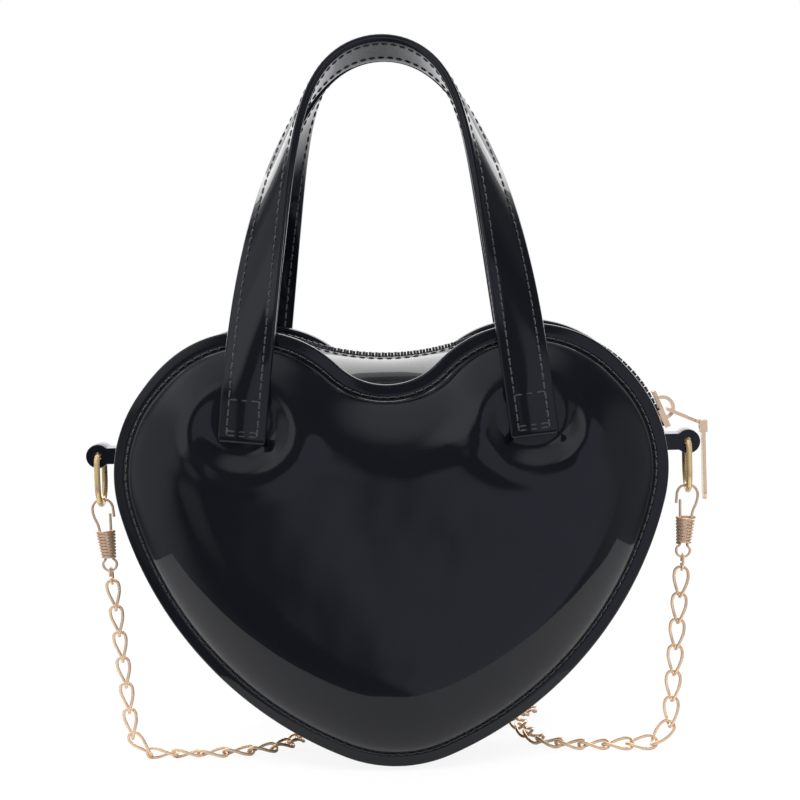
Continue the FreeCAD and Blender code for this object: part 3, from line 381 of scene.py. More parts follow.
# Grains of the materials to the metre, and the depths of their bumps.
PATENT_TINT_GRAIN = 60
PATENT_WAVE_GRAIN = 45
PATENT_FINE_GRAIN = 900
PATENT_WAVE_DEPTH = 0.4 * MM
PATENT_FINE_DEPTH = 0.01 * MM
METAL_TINT_GRAIN = 350
METAL_MARK_GRAIN = 1500
METAL_MARK_DEPTH = 0.02 * MM
METAL_MARK_STRETCH = (1, 1, 0.2)
THREAD_GRAIN = 2500
THREAD_DEPTH = 0.1 * MM
WEAVE_DEPTH = 0.15 * MM
PLASTIC_GRAIN = 1200
PLASTIC_DEPTH = 0.02 * MM


def patent_material():
    """Black patent: dark sheet under a clear glossy coat that waves a little."""
    material, nodes, links, shader = new_material("black_patent")
    set_values(shader, Roughness=0.3, Specular_IOR_Level=0.15, Coat_Weight=1.0, Coat_IOR=1.5)
    tint = add_noise(nodes, links, PATENT_TINT_GRAIN)
    add_tint(nodes, links, tint, shader, (0.0008, 0.001, 0.0018), (0.0022, 0.0026, 0.004))
    gloss = add_ramp(nodes, links, add_noise(nodes, links, PATENT_FINE_GRAIN, 4), 0.01, 0.035)
    links.new(gloss, shader.inputs["Coat Roughness"])
    wave = add_noise(nodes, links, PATENT_WAVE_GRAIN, 1)
    fine = add_noise(nodes, links, PATENT_FINE_GRAIN, 2)
    waved = add_bump(nodes, links, wave, shader, PATENT_WAVE_DEPTH, 0.5, socket="Coat Normal")
    add_bump(nodes, links, fine, shader, PATENT_FINE_DEPTH, 0.4, before=waved, socket="Coat Normal")
    add_bump(nodes, links, wave, shader, PATENT_WAVE_DEPTH, 0.5)
    return material


def metal_material(name, dark, light, roughness):
    """Polished plate with faint brushing and handling marks."""
    material, nodes, links, shader = new_material(name)
    set_values(shader, Metallic=0.7, Roughness=roughness)
    add_tint(nodes, links, add_noise(nodes, links, METAL_TINT_GRAIN, 3), shader, dark, light)
    marks = add_noise(nodes, links, METAL_MARK_GRAIN, 3, METAL_MARK_STRETCH)
    links.new(add_ramp(nodes, links, marks, roughness * 0.7, roughness * 1.4), shader.inputs["Roughness"])
    add_bump(nodes, links, marks, shader, METAL_MARK_DEPTH, 0.08)
    return material


def thread_material():
    """Twisted black thread."""
    material, nodes, links, shader = new_material("black_thread")
    set_values(shader, Roughness=0.5, Sheen_Weight=0.3)
    twist = add_noise(nodes, links, THREAD_GRAIN, 2)
    add_tint(nodes, links, twist, shader, (0.008, 0.008, 0.009), (0.045, 0.045, 0.05))
    add_bump(nodes, links, twist, shader, THREAD_DEPTH, 0.5)
    return material


def cloth_material(name, dark, light, threads):
    """Plain weave of a given number of threads to the metre."""
    material, nodes, links, shader = new_material(name)
    set_values(shader, Roughness=0.85, Sheen_Weight=0.2)
    place = nodes.new("ShaderNodeTexCoord")
    weaves = []
    for direction in ("X", "Z"):
        wave = nodes.new("ShaderNodeTexWave")
        wave.bands_direction = direction
        set_values(wave, Scale=threads / (2 * math.pi), Distortion=0.4)
        links.new(place.outputs["Object"], wave.inputs["Vector"])
        weaves.append(wave.outputs["Fac"])
    both = nodes.new("ShaderNodeMath")
    both.operation = "MULTIPLY"
    for source, socket in zip(weaves, both.inputs):
        links.new(source, socket)
    add_tint(nodes, links, both.outputs["Value"], shader, dark, light)
    add_bump(nodes, links, both.outputs["Value"], shader, WEAVE_DEPTH, 0.6)
    return material


def plastic_material(name, dark, light):
    """Moulded plastic with a fine grain."""
    material, nodes, links, shader = new_material(name)
    set_values(shader, Roughness=0.35)
    grain = add_noise(nodes, links, PLASTIC_GRAIN, 3)
    add_tint(nodes, links, grain, shader, dark, light)
    links.new(add_ramp(nodes, links, grain, 0.28, 0.45), shader.inputs["Roughness"])
    add_bump(nodes, links, grain, shader, PLASTIC_DEPTH, 0.3)
    return material


PATENT = patent_material()
ROSE = metal_material("rose_plate", (0.95, 0.68, 0.45), (0.99, 0.74, 0.51), 0.2)
ROSE_DULL = metal_material("spring_plate", (0.76, 0.54, 0.36), (0.84, 0.62, 0.44), 0.26)
GOLD = metal_material("gold_plate", (0.95, 0.69, 0.32), (1.0, 0.77, 0.4), 0.18)
THREAD_BLACK = thread_material()
LINING = cloth_material("lining_cloth", (0.006, 0.006, 0.008), (0.03, 0.03, 0.035), 2500)
TAPE = cloth_material("zip_tape_cloth", (0.004, 0.004, 0.005), (0.03, 0.03, 0.034), 3000)
WADDING = cloth_material("wadding", (0.5, 0.5, 0.48), (0.8, 0.8, 0.78), 900)
BACKING = cloth_material("backing_cloth", (0.12, 0.115, 0.1), (0.25, 0.24, 0.22), 1500)
TEETH = plastic_material("black_teeth", (0.006, 0.006, 0.007), (0.03, 0.03, 0.033))

SLOT_MATERIALS = {
    "patent": PATENT, "padding": WADDING, "backing": BACKING, "lining": LINING, "zip_tape": TAPE,
    "zip_teeth": TEETH, "rose_metal": ROSE, "ring_metal": GOLD, "chain_metal": ROSE,
}


def dress_nodes():
    """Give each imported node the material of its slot."""
    for part in frame["record"]["subparts"]:
        thing = frame["nodes"][part["node"]]
        thing.data.materials.clear()
        thing.data.materials.append(SLOT_MATERIALS[part["material_slot"]])


# Repeats on places, by geometry nodes.

def places_mesh(name, places, ways, ups):
    """Loose points that carry a way and an up direction."""
    mesh = bpy.data.meshes.new(name + "_places")
    mesh.from_pydata([tuple(place) for place in places], [], [])
    for label, rows in (("way", ways), ("up", ups)):
        layer = mesh.attributes.new(label, "FLOAT_VECTOR", "POINT")
        layer.data.foreach_set("vector", np.asarray(rows, dtype=np.float32).ravel())
    return mesh


def add_turn(nodes, links):
    """Rotation that lays X along each point's way and then turns Z up."""
    turn = None
    for label, axis, pivot in (("way", "X", "AUTO"), ("up", "Z", "X")):
        layer = nodes.new("GeometryNodeInputNamedAttribute")
        layer.data_type = "FLOAT_VECTOR"
        layer.inputs["Name"].default_value = label
        align = nodes.new("FunctionNodeAlignRotationToVector")
        align.axis = axis
        align.pivot_axis = pivot
        links.new(layer.outputs["Attribute"], align.inputs["Vector"])
        if turn:
            links.new(turn, align.inputs["Rotation"])
        turn = align.outputs["Rotation"]
    return turn


def repeat_tree(name, source, material):
    """Node tree that sets a copy of the source on every point."""
    tree = bpy.data.node_groups.new(name + "_nodes", "GeometryNodeTree")
    for way in ("INPUT", "OUTPUT"):
        tree.interface.new_socket("Geometry", in_out=way, socket_type="NodeSocketGeometry")
    nodes = tree.nodes
    links = tree.links
    entry = nodes.new("NodeGroupInput")
    result = nodes.new("NodeGroupOutput")
    info = nodes.new("GeometryNodeObjectInfo")
    info.inputs["Object"].default_value = source
    spread = nodes.new("GeometryNodeInstanceOnPoints")
    real = nodes.new("GeometryNodeRealizeInstances")
    dress = nodes.new("GeometryNodeSetMaterial")
    dress.inputs["Material"].default_value = material
    links.new(entry.outputs["Geometry"], spread.inputs["Points"])
    links.new(info.outputs["Geometry"], spread.inputs["Instance"])
    links.new(add_turn(nodes, links), spread.inputs["Rotation"])
    links.new(spread.outputs["Instances"], real.inputs["Geometry"])
    links.new(real.outputs["Geometry"], dress.inputs["Geometry"])
    links.new(dress.outputs["Geometry"], result.inputs["Geometry"])
    return tree


def repeated(name, template, places, ways, ups, material):
    """Copies of a template at places, its X along a way and its Z turned up."""
    host = bpy.data.objects.new(name + "_host", places_mesh(name, places, ways, ups))
    source = bpy.data.objects.new(name + "_template", template)
    for thing in (host, source):
        bpy.context.scene.collection.objects.link(thing)
    tree = repeat_tree(name, source, material)
    host.modifiers.new("repeat", "NODES").node_group = tree
    bpy.context.view_layer.update()
    seen = host.evaluated_get(bpy.context.evaluated_depsgraph_get())
    copies = bpy.data.meshes.new_from_object(seen)
    copies.name = name
    for thing in (host, source):
        bpy.data.objects.remove(thing)
    bpy.data.node_groups.remove(tree)
    copies.shade_smooth()
    return new_object(name, copies, material)


def bar_mesh(name, line, radius, sides=ROUND_SIDES, closed=False):
    """Round bar along a line of points, for threads, springs and links."""
    line = np.asarray(line)
    count = len(line)
    if closed:
        ways = np.roll(line, -1, axis=0) - np.roll(line, 1, axis=0)
    else:
        ways = np.gradient(line, axis=0)
    points = []
    up = UP_WAY
    for place, way in zip(line, ways):
        way = way / np.linalg.norm(way)
        side = np.cross(way, up)
        side = side / np.linalg.norm(side)
        over = np.cross(side, way)
        up = over
        for number in range(sides):
            swing = 2 * math.pi * number / sides
            points.append(place + radius * (math.cos(swing) * side + math.sin(swing) * over))
    faces = grid_faces(count, sides, loop_rows=closed, loop_columns=True)
    if not closed:
        faces.append(tuple(range(sides)))
        faces.append(tuple(range(len(points) - sides, len(points)))[::-1])
    return mesh_of(name, points, faces)


def stitch_template():
    """One stitch: a short thread whose ends dive into the sheet."""
    shares = np.linspace(-1, 1, STITCH_STATIONS)
    rises = THREAD * (STITCH_RISE_SHARE - STITCH_DIVE_SHARE * np.abs(shares) ** STITCH_DIVE_POWER)
    line = np.stack([shares * STITCH_LENGTH / 2, np.zeros(STITCH_STATIONS), rises], axis=1)
    return bar_mesh("stitch", line, THREAD / 2, STITCH_SIDES)


def along_line(points, pitch, closed=False):
    """Even places along a line of points, with the way at each and the share along it."""
    points = np.asarray(points)
    if closed:
        points = np.concatenate([points, points[:1]])
    lengths = np.concatenate([[0], np.cumsum(np.linalg.norm(np.diff(points, axis=0), axis=1))])
    count = max(2, round(lengths[-1] / pitch))
    spots = (np.arange(count) + 0.5) * lengths[-1] / count
    places = np.stack([np.interp(spots, lengths, points[:, axis]) for axis in range(3)], axis=1)
    step = pitch / 4
    ahead = np.stack([np.interp(spots + step, lengths, points[:, axis]) for axis in range(3)], axis=1)
    return places, ahead - places, spots / lengths[-1]


def stitches(name, lines, ups, body, blend=None, closed=False):
    """Stitches along lines of points; ups gives the way out of the sheet for each line."""
    places, ways, outs = [], [], []
    for line, up in zip(lines, ups):
        spots, heading, shares = along_line(line, STITCH_PITCH, closed)
        up = np.asarray(up)
        if up.ndim == 1:
            up = np.tile(up, (len(line), 1))
        knots = np.linspace(0, 1, len(up))
        places.append(spots)
        ways.append(heading)
        outs.append(np.stack([np.interp(shares, knots, up[:, axis]) for axis in range(3)], axis=1))
    sewn = repeated(name, stitch_template(), np.concatenate(places), np.concatenate(ways),
                    np.concatenate(outs), THREAD_BLACK)
    if blend:
        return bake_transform(sewn)
    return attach(sewn, body)


# Padded panels.

# Waves of the padding's unevenness: swing across and up for a lobe's spread, start and strength.
RIPPLE_WAVES = [(1.7, 2.3, 0.4, 1.0), (-2.6, 1.4, 1.9, 1.0), (4.1, 3.3, 5.1, 0.6)]


def ripple(points):
    """Slow unevenness of hand-laid padding."""
    across = points[:, 0] / LOBE_SPREAD
    up = points[:, 1] / LOBE_SPREAD
    waves = [strength * np.sin(wide * across + tall * up + start)
             for wide, tall, start, strength in RIPPLE_WAVES]
    return sum(waves) * RIPPLE


def ring_share(reach, middle, width):
    """1 on a ring, fading to both sides."""
    return np.exp(-((reach - middle) / width) ** 2)


def dimple(points):
    """Share by which the sewn handle ends pull the panel in, and the rings raised round them."""
    pull = np.zeros(len(points))
    swell = np.zeros(len(points))
    for end in HANDLE_ENDS:
        offset = (points - end) / np.array([DIMPLE_WIDE, DIMPLE_TALL])
        reach = np.hypot(offset[:, 0], offset[:, 1])
        pull = np.maximum(pull, 1 - smooth(reach, *DIMPLE_PULL_SHARES))
        swell += DIMPLE_LIP * ring_share(reach, *DIMPLE_LIP_SHARES)
        swell -= DIMPLE_MOAT * ring_share(reach, *DIMPLE_MOAT_SHARES)
    return pull, swell


def panel_rise(points):
    """How far the padded face stands in front of the flange."""
    inset = rim_distance(points)
    share = np.clip((inset - FLANGE) / DOME_RUN, 0, 1)
    rise = DOME_HEIGHT * (1 - (1 - share) ** 2) ** DOME_POWER
    rise += FLANGE_RISE * np.clip(inset / FLANGE, 0, 1) * (1 - share)
    crown = smooth(inset, CROWN_START, CROWN_START + CROWN_RUN)
    pull, swell = dimple(points)
    extra = (CROWN_EXTRA * (1 - pull) + swell) * crown
    groove = GROOVE * ring_share(inset, GROOVE_INSET, GROOVE_WIDTH)
    return rise + extra + ripple(points) * crown * (1 - pull) - groove


FLANGE_SHARES = (0.06, 0.14, 0.3, 0.55, 0.74, 0.82, 0.88, 0.94, 1.0)
DOME_STEPS = 26
CROWN_STEPS = 40


def panel_rings():
    """Rings of points from the rim to the crown's middle."""
    insets = [FLANGE * share for share in FLANGE_SHARES]
    swings = np.radians(np.linspace(0, 90, DOME_STEPS + 1)[1:])
    insets += [FLANGE + DOME_RUN * (1 - math.cos(swing)) for swing in swings]
    rings = [whole_heart(inset=inset) for inset in insets]
    middle = np.array([0.0, CROWN_MIDDLE])
    last = rings[-1]
    rings += [middle + (last - middle) * (1 - step / CROWN_STEPS) for step in range(1, CROWN_STEPS)]
    return rings


def panel_mesh():
    """Closed sheet: outer face over the padding, the rim's edge and an inner face."""
    rings = panel_rings()
    count = len(rings[0])
    edge = whole_heart()
    outer = [rim_row(edge, -PANEL_BASE + EDGE_ROUND)]
    outer += [rim_row(ring, -PANEL_BASE - panel_rise(ring)) for ring in rings]
    inner = [rim_row(edge, -SEAM_DEPTH - EDGE_ROUND / 2), rim_row(rings[1], -SEAM_DEPTH)]
    for ring in rings[len(FLANGE_SHARES) - 1:]:
        inner.append(rim_row(ring, SHEET_WALL - PANEL_BASE - panel_rise(ring)))
    rows = inner[::-1] + outer
    middle = np.array([[0.0, CROWN_MIDDLE]])
    poles = [in_row(middle, SHEET_WALL - PANEL_BASE - panel_rise(middle)),
             in_row(middle, -PANEL_BASE - panel_rise(middle))]
    faces = grid_faces(len(rows), count, loop_columns=True)
    total = len(rows) * count
    for number in range(count):
        beside = (number + 1) % count
        faces.append((total, beside, number))
        faces.append((total + 1, total - count + number, total - count + beside))
    return np.concatenate(rows + poles), faces


def build_panels():
    """Both padded sheets, each with the row of stitches in its rim's groove."""
    points, faces = panel_mesh()
    line = whole_heart(inset=GROOVE_INSET)
    seam = rim_row(line, -PANEL_BASE - panel_rise(line) - THREAD / 3)
    for face, place in FACES.items():
        name = face + "_panel_sheet"
        sheet = new_object(name, mesh_of(name, place(points), faces), PATENT)
        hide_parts(face + "_panel")
        ride(sheet, "bag")
        stitches(face + "_rim_stitches", [place(seam)], [place(FRONT_WAY)], "bag", closed=True)


# Gusset.

TRACK = {"puff": GUSSET_PUFF, "cleft": ZIP_CLEFT_HEIGHT, "lobe": TRACK_LOBE}


def gusset_row(depth_share, drop=0.0):
    """Ring of the gusset's outer face at a share of the half width, pushed in by a drop."""
    seam = lifted(whole_heart(inset=FLANGE + drop))
    middle = whole_heart(inset=drop, **TRACK)
    share = abs(depth_share) ** 2
    return in_row(middle + (seam - middle) * share, depth_share * SEAM_DEPTH)


def side_spans():
    """Numbers of the outline's points below the strips' feet, and above them."""
    middle = whole_heart(**TRACK)
    low = np.nonzero(middle[:, 1] < STRIP_FOOT)[0]
    gap = int(np.argmax(np.diff(low)))
    below = np.concatenate([low[gap + 1:], low[:gap + 1]])
    above = np.arange(low[gap], low[gap + 1] + 1)
    return below, above


BELOW, ABOVE = side_spans()
BAND_STATIONS = 41
BAND_SHARES = np.sin(np.radians(np.linspace(-90, 90, BAND_STATIONS)))
FLANGE_BACK_SHARES = (0.9, 0.6, 0.3, 0.1)
FLANGE_FRONT_SHARES = (0.1, 0.5, 1.0)
STRIP_STATIONS = 32
TAPE_STATIONS = 12
# Fold of a strip at the slot: shares of the edge's rounding and of the wall.
FOLD_SHARES = ((0.8, 0.12), (1.0, 0.5), (0.8, 0.88))


def flange_rows(sign):
    """Turned-out edge of the gusset at one seam, from the band to the rim and back along the seam."""
    back = sign * (SEAM_DEPTH - SHEET_WALL)
    front = sign * SEAM_DEPTH
    rows = [rim_row(whole_heart(inset=FLANGE * share), back) for share in FLANGE_BACK_SHARES]
    rows += [rim_row(whole_heart(), (back + front) / 2)]
    rows += [rim_row(whole_heart(inset=FLANGE * share), front) for share in FLANGE_FRONT_SHARES]
    return rows


def band_strip(rows, span):
    """Closed solid from rows that go round a cross-section, along a span of the outline."""
    points = np.concatenate([row[span] for row in rows])
    count = len(span)
    faces = grid_faces(len(rows), count, loop_rows=True)
    for column in (0, count - 1):
        faces.append(tuple(row * count + column for row in range(len(rows))))
    return points, faces


def build_bottom_gusset():
    """Band from one strip's foot round the tip to the other, with its two flanges."""
    outer = [gusset_row(share) for share in BAND_SHARES[1:-1] * (1 - SHEET_WALL / SEAM_DEPTH)]
    inner = [gusset_row(share, SHEET_WALL) for share in BAND_SHARES[1:-1]]
    rows = flange_rows(-1)[::-1] + outer + flange_rows(1) + inner[::-1]
    points, faces = band_strip(rows, BELOW)
    skin = new_object("gusset_skin", mesh_of("gusset_skin", points, faces), PATENT)
    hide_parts("bottom_gusset")
    ride(skin, "bag")


def build_top_strips():
    """Strips beside the zip, folded at the slot, with their stitched hems."""
    shares = np.linspace(1 - SHEET_WALL / SEAM_DEPTH, STRIP_EDGE_SHARE, STRIP_STATIONS)
    outer = [gusset_row(-share) for share in shares]
    fold = [gusset_row(-STRIP_EDGE_SHARE + turn * EDGE_ROUND / SEAM_DEPTH, fold_share * SHEET_WALL)
            for turn, fold_share in FOLD_SHARES]
    inner = [gusset_row(-share, SHEET_WALL) for share in shares[::-1]]
    rows = flange_rows(-1)[::-1] + outer + fold + inner
    points, faces = band_strip(rows, ABOVE)
    hem_share = STRIP_EDGE_SHARE + HEM_WIDTH / SEAM_DEPTH
    hem = gusset_row(-hem_share)[ABOVE]
    outward = gusset_row(-hem_share, -OUT_STEP)[ABOVE] - gusset_row(-hem_share)[ABOVE]
    for face, place in FACES.items():
        name = face + "_top_strip_skin"
        skin = new_object(name, mesh_of(name, place(points), faces), PATENT)
        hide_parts(face + "_top_strip")
        ride(skin, "bag")
        stitches(face + "_hem_stitches", [place(hem)], [place(outward)], "bag")


def build_tapes():
    """Woven zip tapes below the strips, up to the teeth."""
    shares = np.linspace(TAPE_WIDTH, TAPE_EDGE, TAPE_STATIONS) / SEAM_DEPTH
    rows = [gusset_row(-share, TAPE_DROP) for share in shares]
    rows += [gusset_row(-share, TAPE_DROP + TAPE_WALL) for share in shares[::-1]]
    points, faces = band_strip(rows, ABOVE)
    for face, place in FACES.items():
        name = face + "_zip_tape_cloth"
        cloth = new_object(name, mesh_of(name, place(points), faces), TAPE)
        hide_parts(face + "_zip_tape")
        ride(cloth, "bag")


# Handles.

def strap_rise_share(across_share):
    """0 at the sewn ends and 1 at the grip's middle."""
    whole = arch_fall(HINGE_SHARE)
    return max(0.0, (whole - arch_fall(across_share)) / whole)


def strap_place(across_share):
    """Middle of the front strap in the part's frame."""
    lean = strap_rise_share(across_share) ** LEAN_POWER
    depth = STRAP_DEPTH + (APEX_SETBACK - STRAP_DEPTH) * lean
    height = HANDLE_END_HEIGHT + ARCH_RISE * (1 - arch_fall(across_share))
    return np.array([HANDLE_SPREAD * across_share, -depth, height - GRIP_HEIGHT])


def unit(vector):
    """The same way with length 1."""
    return vector / np.linalg.norm(vector)


def strap_frame(across_share):
    """Middle, way along, face and width directions of the front strap."""
    place = strap_place(across_share)
    along = unit(strap_place(across_share - NUDGE_SHARE) - strap_place(across_share + NUDGE_SHARE))
    twist = math.radians(90 - (90 + APEX_TILT) * strap_rise_share(across_share) ** TWIST_POWER)
    front = unit(FRONT_WAY - along * FRONT_WAY.dot(along))
    outward = np.cross(along, front)
    face = outward * math.cos(twist) + front * math.sin(twist)
    return place, along, face, np.cross(along, face)


STRAP_STATIONS = 150
HALF_WALL = STRAP_WALL / 2
# Cross-section of the strap: across as a share of the half width, out as a share of the half wall.
STRAP_SECTION_SHARES = [
    (-0.9, 1.0), (-0.62, 0.86), (-0.5, 1.06), (0.0, 1.16), (0.5, 1.06), (0.62, 0.86), (0.9, 1.0),
    (0.97, 0.86), (1.0, 0.5), (1.0, 0.12), (0.975, 0.0), (1.0, -0.12), (1.0, -0.5), (0.97, -0.86),
    (0.9, -1.0), (0.62, -0.9), (0.0, -1.05), (-0.62, -0.9), (-0.9, -1.0),
    (-0.97, -0.86), (-1.0, -0.5), (-1.0, -0.12), (-0.975, 0.0), (-1.0, 0.12), (-1.0, 0.5), (-0.97, 0.86),
]


def strap_stations():
    """Shares across the handle, even along the strap, from end to end."""
    fine = np.linspace(-1, 1, ARCH_STATIONS)
    points = np.array([strap_place(share) for share in fine])
    lengths = np.concatenate([[0], np.cumsum(np.linalg.norm(np.diff(points, axis=0), axis=1))])
    return np.interp(np.linspace(0, lengths[-1], STRAP_STATIONS), lengths, fine)


def strap_point(across_share, wide_share, out):
    """A point of the strap in the part's frame, and the way out of its outer face."""
    place, _, face, wide = strap_frame(across_share)
    return place + wide * (wide_share * STRAP_WIDTH / 2) + face * out, face


def strap_lines(wide_share, out_share, shares):
    """Line along the strap for a row of stitches, with the way out at each point."""
    sign = math.copysign(1, out_share)
    pairs = [strap_point(share, wide_share, out_share * HALF_WALL) for share in shares]
    return np.array([point for point, _ in pairs]), np.array([face * sign for _, face in pairs])


def end_line(across_share):
    """Short row of stitches across the strap."""
    wides = np.linspace(-STITCH_WIDE_SHARE, STITCH_WIDE_SHARE, END_ROW_STATIONS)
    pairs = [strap_point(across_share, wide, HALF_WALL) for wide in wides]
    return np.array([point for point, _ in pairs]), np.array([face for _, face in pairs])


def strap_mesh(shares):
    """Points and faces of the front strap in one piece with its sewn ends."""
    points = []
    for share in shares:
        for wide_share, out_share in STRAP_SECTION_SHARES:
            points.append(strap_point(share, wide_share, out_share * HALF_WALL)[0])
    count = len(STRAP_SECTION_SHARES)
    faces = grid_faces(len(shares), count, loop_columns=True)
    faces.append(tuple(range(count)))
    faces.append(tuple(range(len(points) - count, len(points))))
    return np.array(points), faces


def build_handles():
    """Each strap in one piece with its sewn ends."""
    shares = strap_stations()
    points, faces = strap_mesh(shares)
    rows = [strap_lines(side * STITCH_WIDE_SHARE, out * STITCH_OUT_SHARE, shares[1:-1])
            for side in (-1, 1) for out in (1, -1)]
    rows += [end_line(sign * share) for sign in (1, -1) for share in (*END_ROW_SHARES, HINGE_SHARE)]
    for face, place in FACES.items():
        name = face + "_strap"
        strap = new_object(name, mesh_of(name, place(points), faces), PATENT)
        ends = ["%s_%s_handle_end" % (face, side) for side in SIDES]
        layers = ["%s_handle_%s" % (face, layer) for layer in ("cover", "filler", "lining")]
        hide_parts(*layers, *ends)
        depth = place(np.array([0.0, -STRAP_DEPTH, 0.0]))[1]
        start = (0.0, depth, HINGE_HEIGHT - BEND_BELOW - GRIP_HEIGHT)
        end = (0.0, depth, HINGE_HEIGHT + BEND_ABOVE - GRIP_HEIGHT)
        bend = ("bag", face + "_handle", start, end)
        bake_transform(strap)
        stitches(face + "_strap_stitches", [place(line) for line, _ in rows],
                 [place(up) for _, up in rows], None, blend=bend)


# Ring tabs.

def build_tabs():
    """Rolled strips that hold the rings, with rounded edges."""
    for side in SIDES:
        node = frame["nodes"][side + "_ring_tab"]
        mesh = node.data.copy()
        tab = new_object(side + "_tab_strip", mesh, PATENT)
        work = bmesh.new()
        work.from_mesh(mesh)
        bmesh.ops.remove_doubles(work, verts=work.verts, dist=TAB_MERGE_REACH)
        work.to_mesh(mesh)
        work.free()
        bevel = tab.modifiers.new("edges", "BEVEL")
        bevel.width = TAB_EDGE
        bevel.segments = 3
        bevel.limit_method = "ANGLE"
        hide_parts(side + "_ring_tab")
        ride(tab, "bag")


# Chain: the rest of it lies in a hank behind the bag, in the same twisted links.

LINK_WIRE = 1.2 * MM
LINK_HALF_LENGTH = 5.63 * MM
LINK_HALF_WIDTH = 3.0 * MM
LINK_PITCH = 9.75 * MM
LINK_TWIST = 45.0
LINK_STATIONS = 20
LINK_SIDES = 7
HANK_WIRE = 6.2 * MM
HANK_STRAIGHT = 28.0 * MM
HANK_RADIUS = 22.0 * MM
HANK_STEP = 4.0 * MM
HANK_LAYER = 7.4 * MM
HANK_SETBACK = 70.0 * MM
HANK_SHIFT = 2.0 * MM
HANK_HALF_TURNS = 7
CLIMB_AFTER = 3
RUN_PARTS = 4
TURN_PARTS = 8
TIE_STATIONS = 48
HANK_ROLL = 0.5
HANK_ROLL_WAVES = 9
FLOOR_HEIGHT = -GUSSET_PUFF - GRIP_HEIGHT


def link_template():
    """One twisted oval link along X."""
    swings = 2 * math.pi * np.arange(LINK_STATIONS) / LINK_STATIONS
    turns = math.radians(LINK_TWIST) * np.cos(swings)
    wide = LINK_HALF_WIDTH * np.sin(swings)
    line = np.stack([LINK_HALF_LENGTH * np.cos(swings), wide * np.cos(turns), wide * np.sin(turns)], axis=1)
    return bar_mesh("link", line, LINK_WIRE / 2, LINK_SIDES, closed=True)


def hank_strand(number):
    """Depth and height of a straight strand of the hank."""
    past = number - CLIMB_AFTER
    steps = number if past < 0 else CLIMB_AFTER - 1 - past
    radius = HANK_RADIUS - HANK_STEP * steps
    rise = 0.0 if past < 0 else HANK_LAYER
    front = number % 2 == 0
    depth = HANK_SETBACK - radius if front else HANK_SETBACK + radius
    return depth, FLOOR_HEIGHT + HANK_WIRE / 2 + rise


def hank_route():
    """Points of the hank: straight strands joined by half turns, climbing where the spiral turns."""
    points = []
    for number in range(HANK_HALF_TURNS):
        depth, height = hank_strand(number)
        way = 1 if number % 2 == 0 else -1
        for step in range(RUN_PARTS + 1):
            along = way * HANK_STRAIGHT * (2 * step / RUN_PARTS - 1)
            points.append((HANK_SHIFT + along, depth, height))
        if number == HANK_HALF_TURNS - 1:
            break
        next_depth, next_height = hank_strand(number + 1)
        radius = abs(next_depth - depth) / 2
        for step in range(1, TURN_PARTS):
            swing = math.pi * step / TURN_PARTS
            share = (1 - math.cos(swing)) / 2
            points.append((HANK_SHIFT + way * (HANK_STRAIGHT + radius * math.sin(swing)),
                           depth + (next_depth - depth) * share, height + (next_height - height) * share))
    return points


def smooth_route(name, points):
    """Points read from a smooth curve with the route's points as its controls."""
    data = bpy.data.curves.new(name, "CURVE")
    data.dimensions = "3D"
    data.resolution_u = 8
    spline = data.splines.new("NURBS")
    spline.points.add(len(points) - 1)
    for spot, point in zip(spline.points, points):
        spot.co = (*point, 1.0)
    spline.order_u = 3
    spline.use_endpoint_u = True
    thing = bpy.data.objects.new(name, data)
    bpy.context.scene.collection.objects.link(thing)
    bpy.context.view_layer.update()
    mesh = bpy.data.meshes.new_from_object(thing.evaluated_get(bpy.context.evaluated_depsgraph_get()))
    route = np.array([vertex.co[:] for vertex in mesh.vertices])
    bpy.data.objects.remove(thing)
    bpy.data.meshes.remove(mesh)
    return route


def build_hank():
    """Links along the hank, and the thread that ties it."""
    route = smooth_route("hank_route", hank_route())
    places, ways, shares = along_line(route, LINK_PITCH)
    rolls = HANK_ROLL * np.sin(HANK_ROLL_WAVES * shares * 2 * math.pi)
    sides = np.cross(ways / np.linalg.norm(ways, axis=1)[:, None], UP_WAY)
    ups = UP_WAY * np.cos(rolls)[:, None] + sides * np.sin(rolls)[:, None]
    hank = repeated("hank_links", link_template(), places, ways, ups, ROSE)
    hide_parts("chain_hank")
    ride(hank, "bag")
    build_tie()


def build_tie():
    """Thread drawn tight round all the strands at the hank's middle."""
    strands = np.array([hank_strand(number) for number in range(HANK_HALF_TURNS)])
    reach = LINK_HALF_WIDTH + LINK_WIRE / 2
    line = []
    for swing in 2 * math.pi * np.arange(TIE_STATIONS) / TIE_STATIONS - math.pi / 2:
        way = np.array([math.cos(swing), math.sin(swing)])
        depth, height = strands[np.argmax(strands @ way)] + reach * way
        line.append((HANK_SHIFT, depth, max(height, FLOOR_HEIGHT + THREAD / 2)))
    tie = new_object("hank_tie", bar_mesh("hank_tie", line, THREAD / 2, closed=True), THREAD_BLACK)
    ride(tie, "bag")


# Clasps: the springs' turns lie close together.

TAB_HEIGHT = 113.0 * MM
TAB_REACH = 7.84 * MM
RING_DROP = 18.3 * MM
CLASP_LEAN = 5.5
COIL_TURNS = 8.5
COIL_PITCH = 1.16 * MM
COIL_WIRE = 1.1 * MM
COIL_TOP = -10.15 * MM
COIL_TOP_RADIUS = 3.2 * MM
COIL_FOOT_RADIUS = 2.3 * MM
COIL_STATIONS = 180


def ring_foot():
    """Where the right clasp hangs in its ring, whose axis lies outside the gusset."""
    radius = LOBE_RADIUS + GUSSET_PUFF
    seat = LOBE_SPREAD + math.sqrt(radius ** 2 - (TAB_HEIGHT - TRACK_LOBE[1]) ** 2)
    return np.array([seat + TAB_REACH, 0.0, TAB_HEIGHT - RING_DROP - GRIP_HEIGHT])


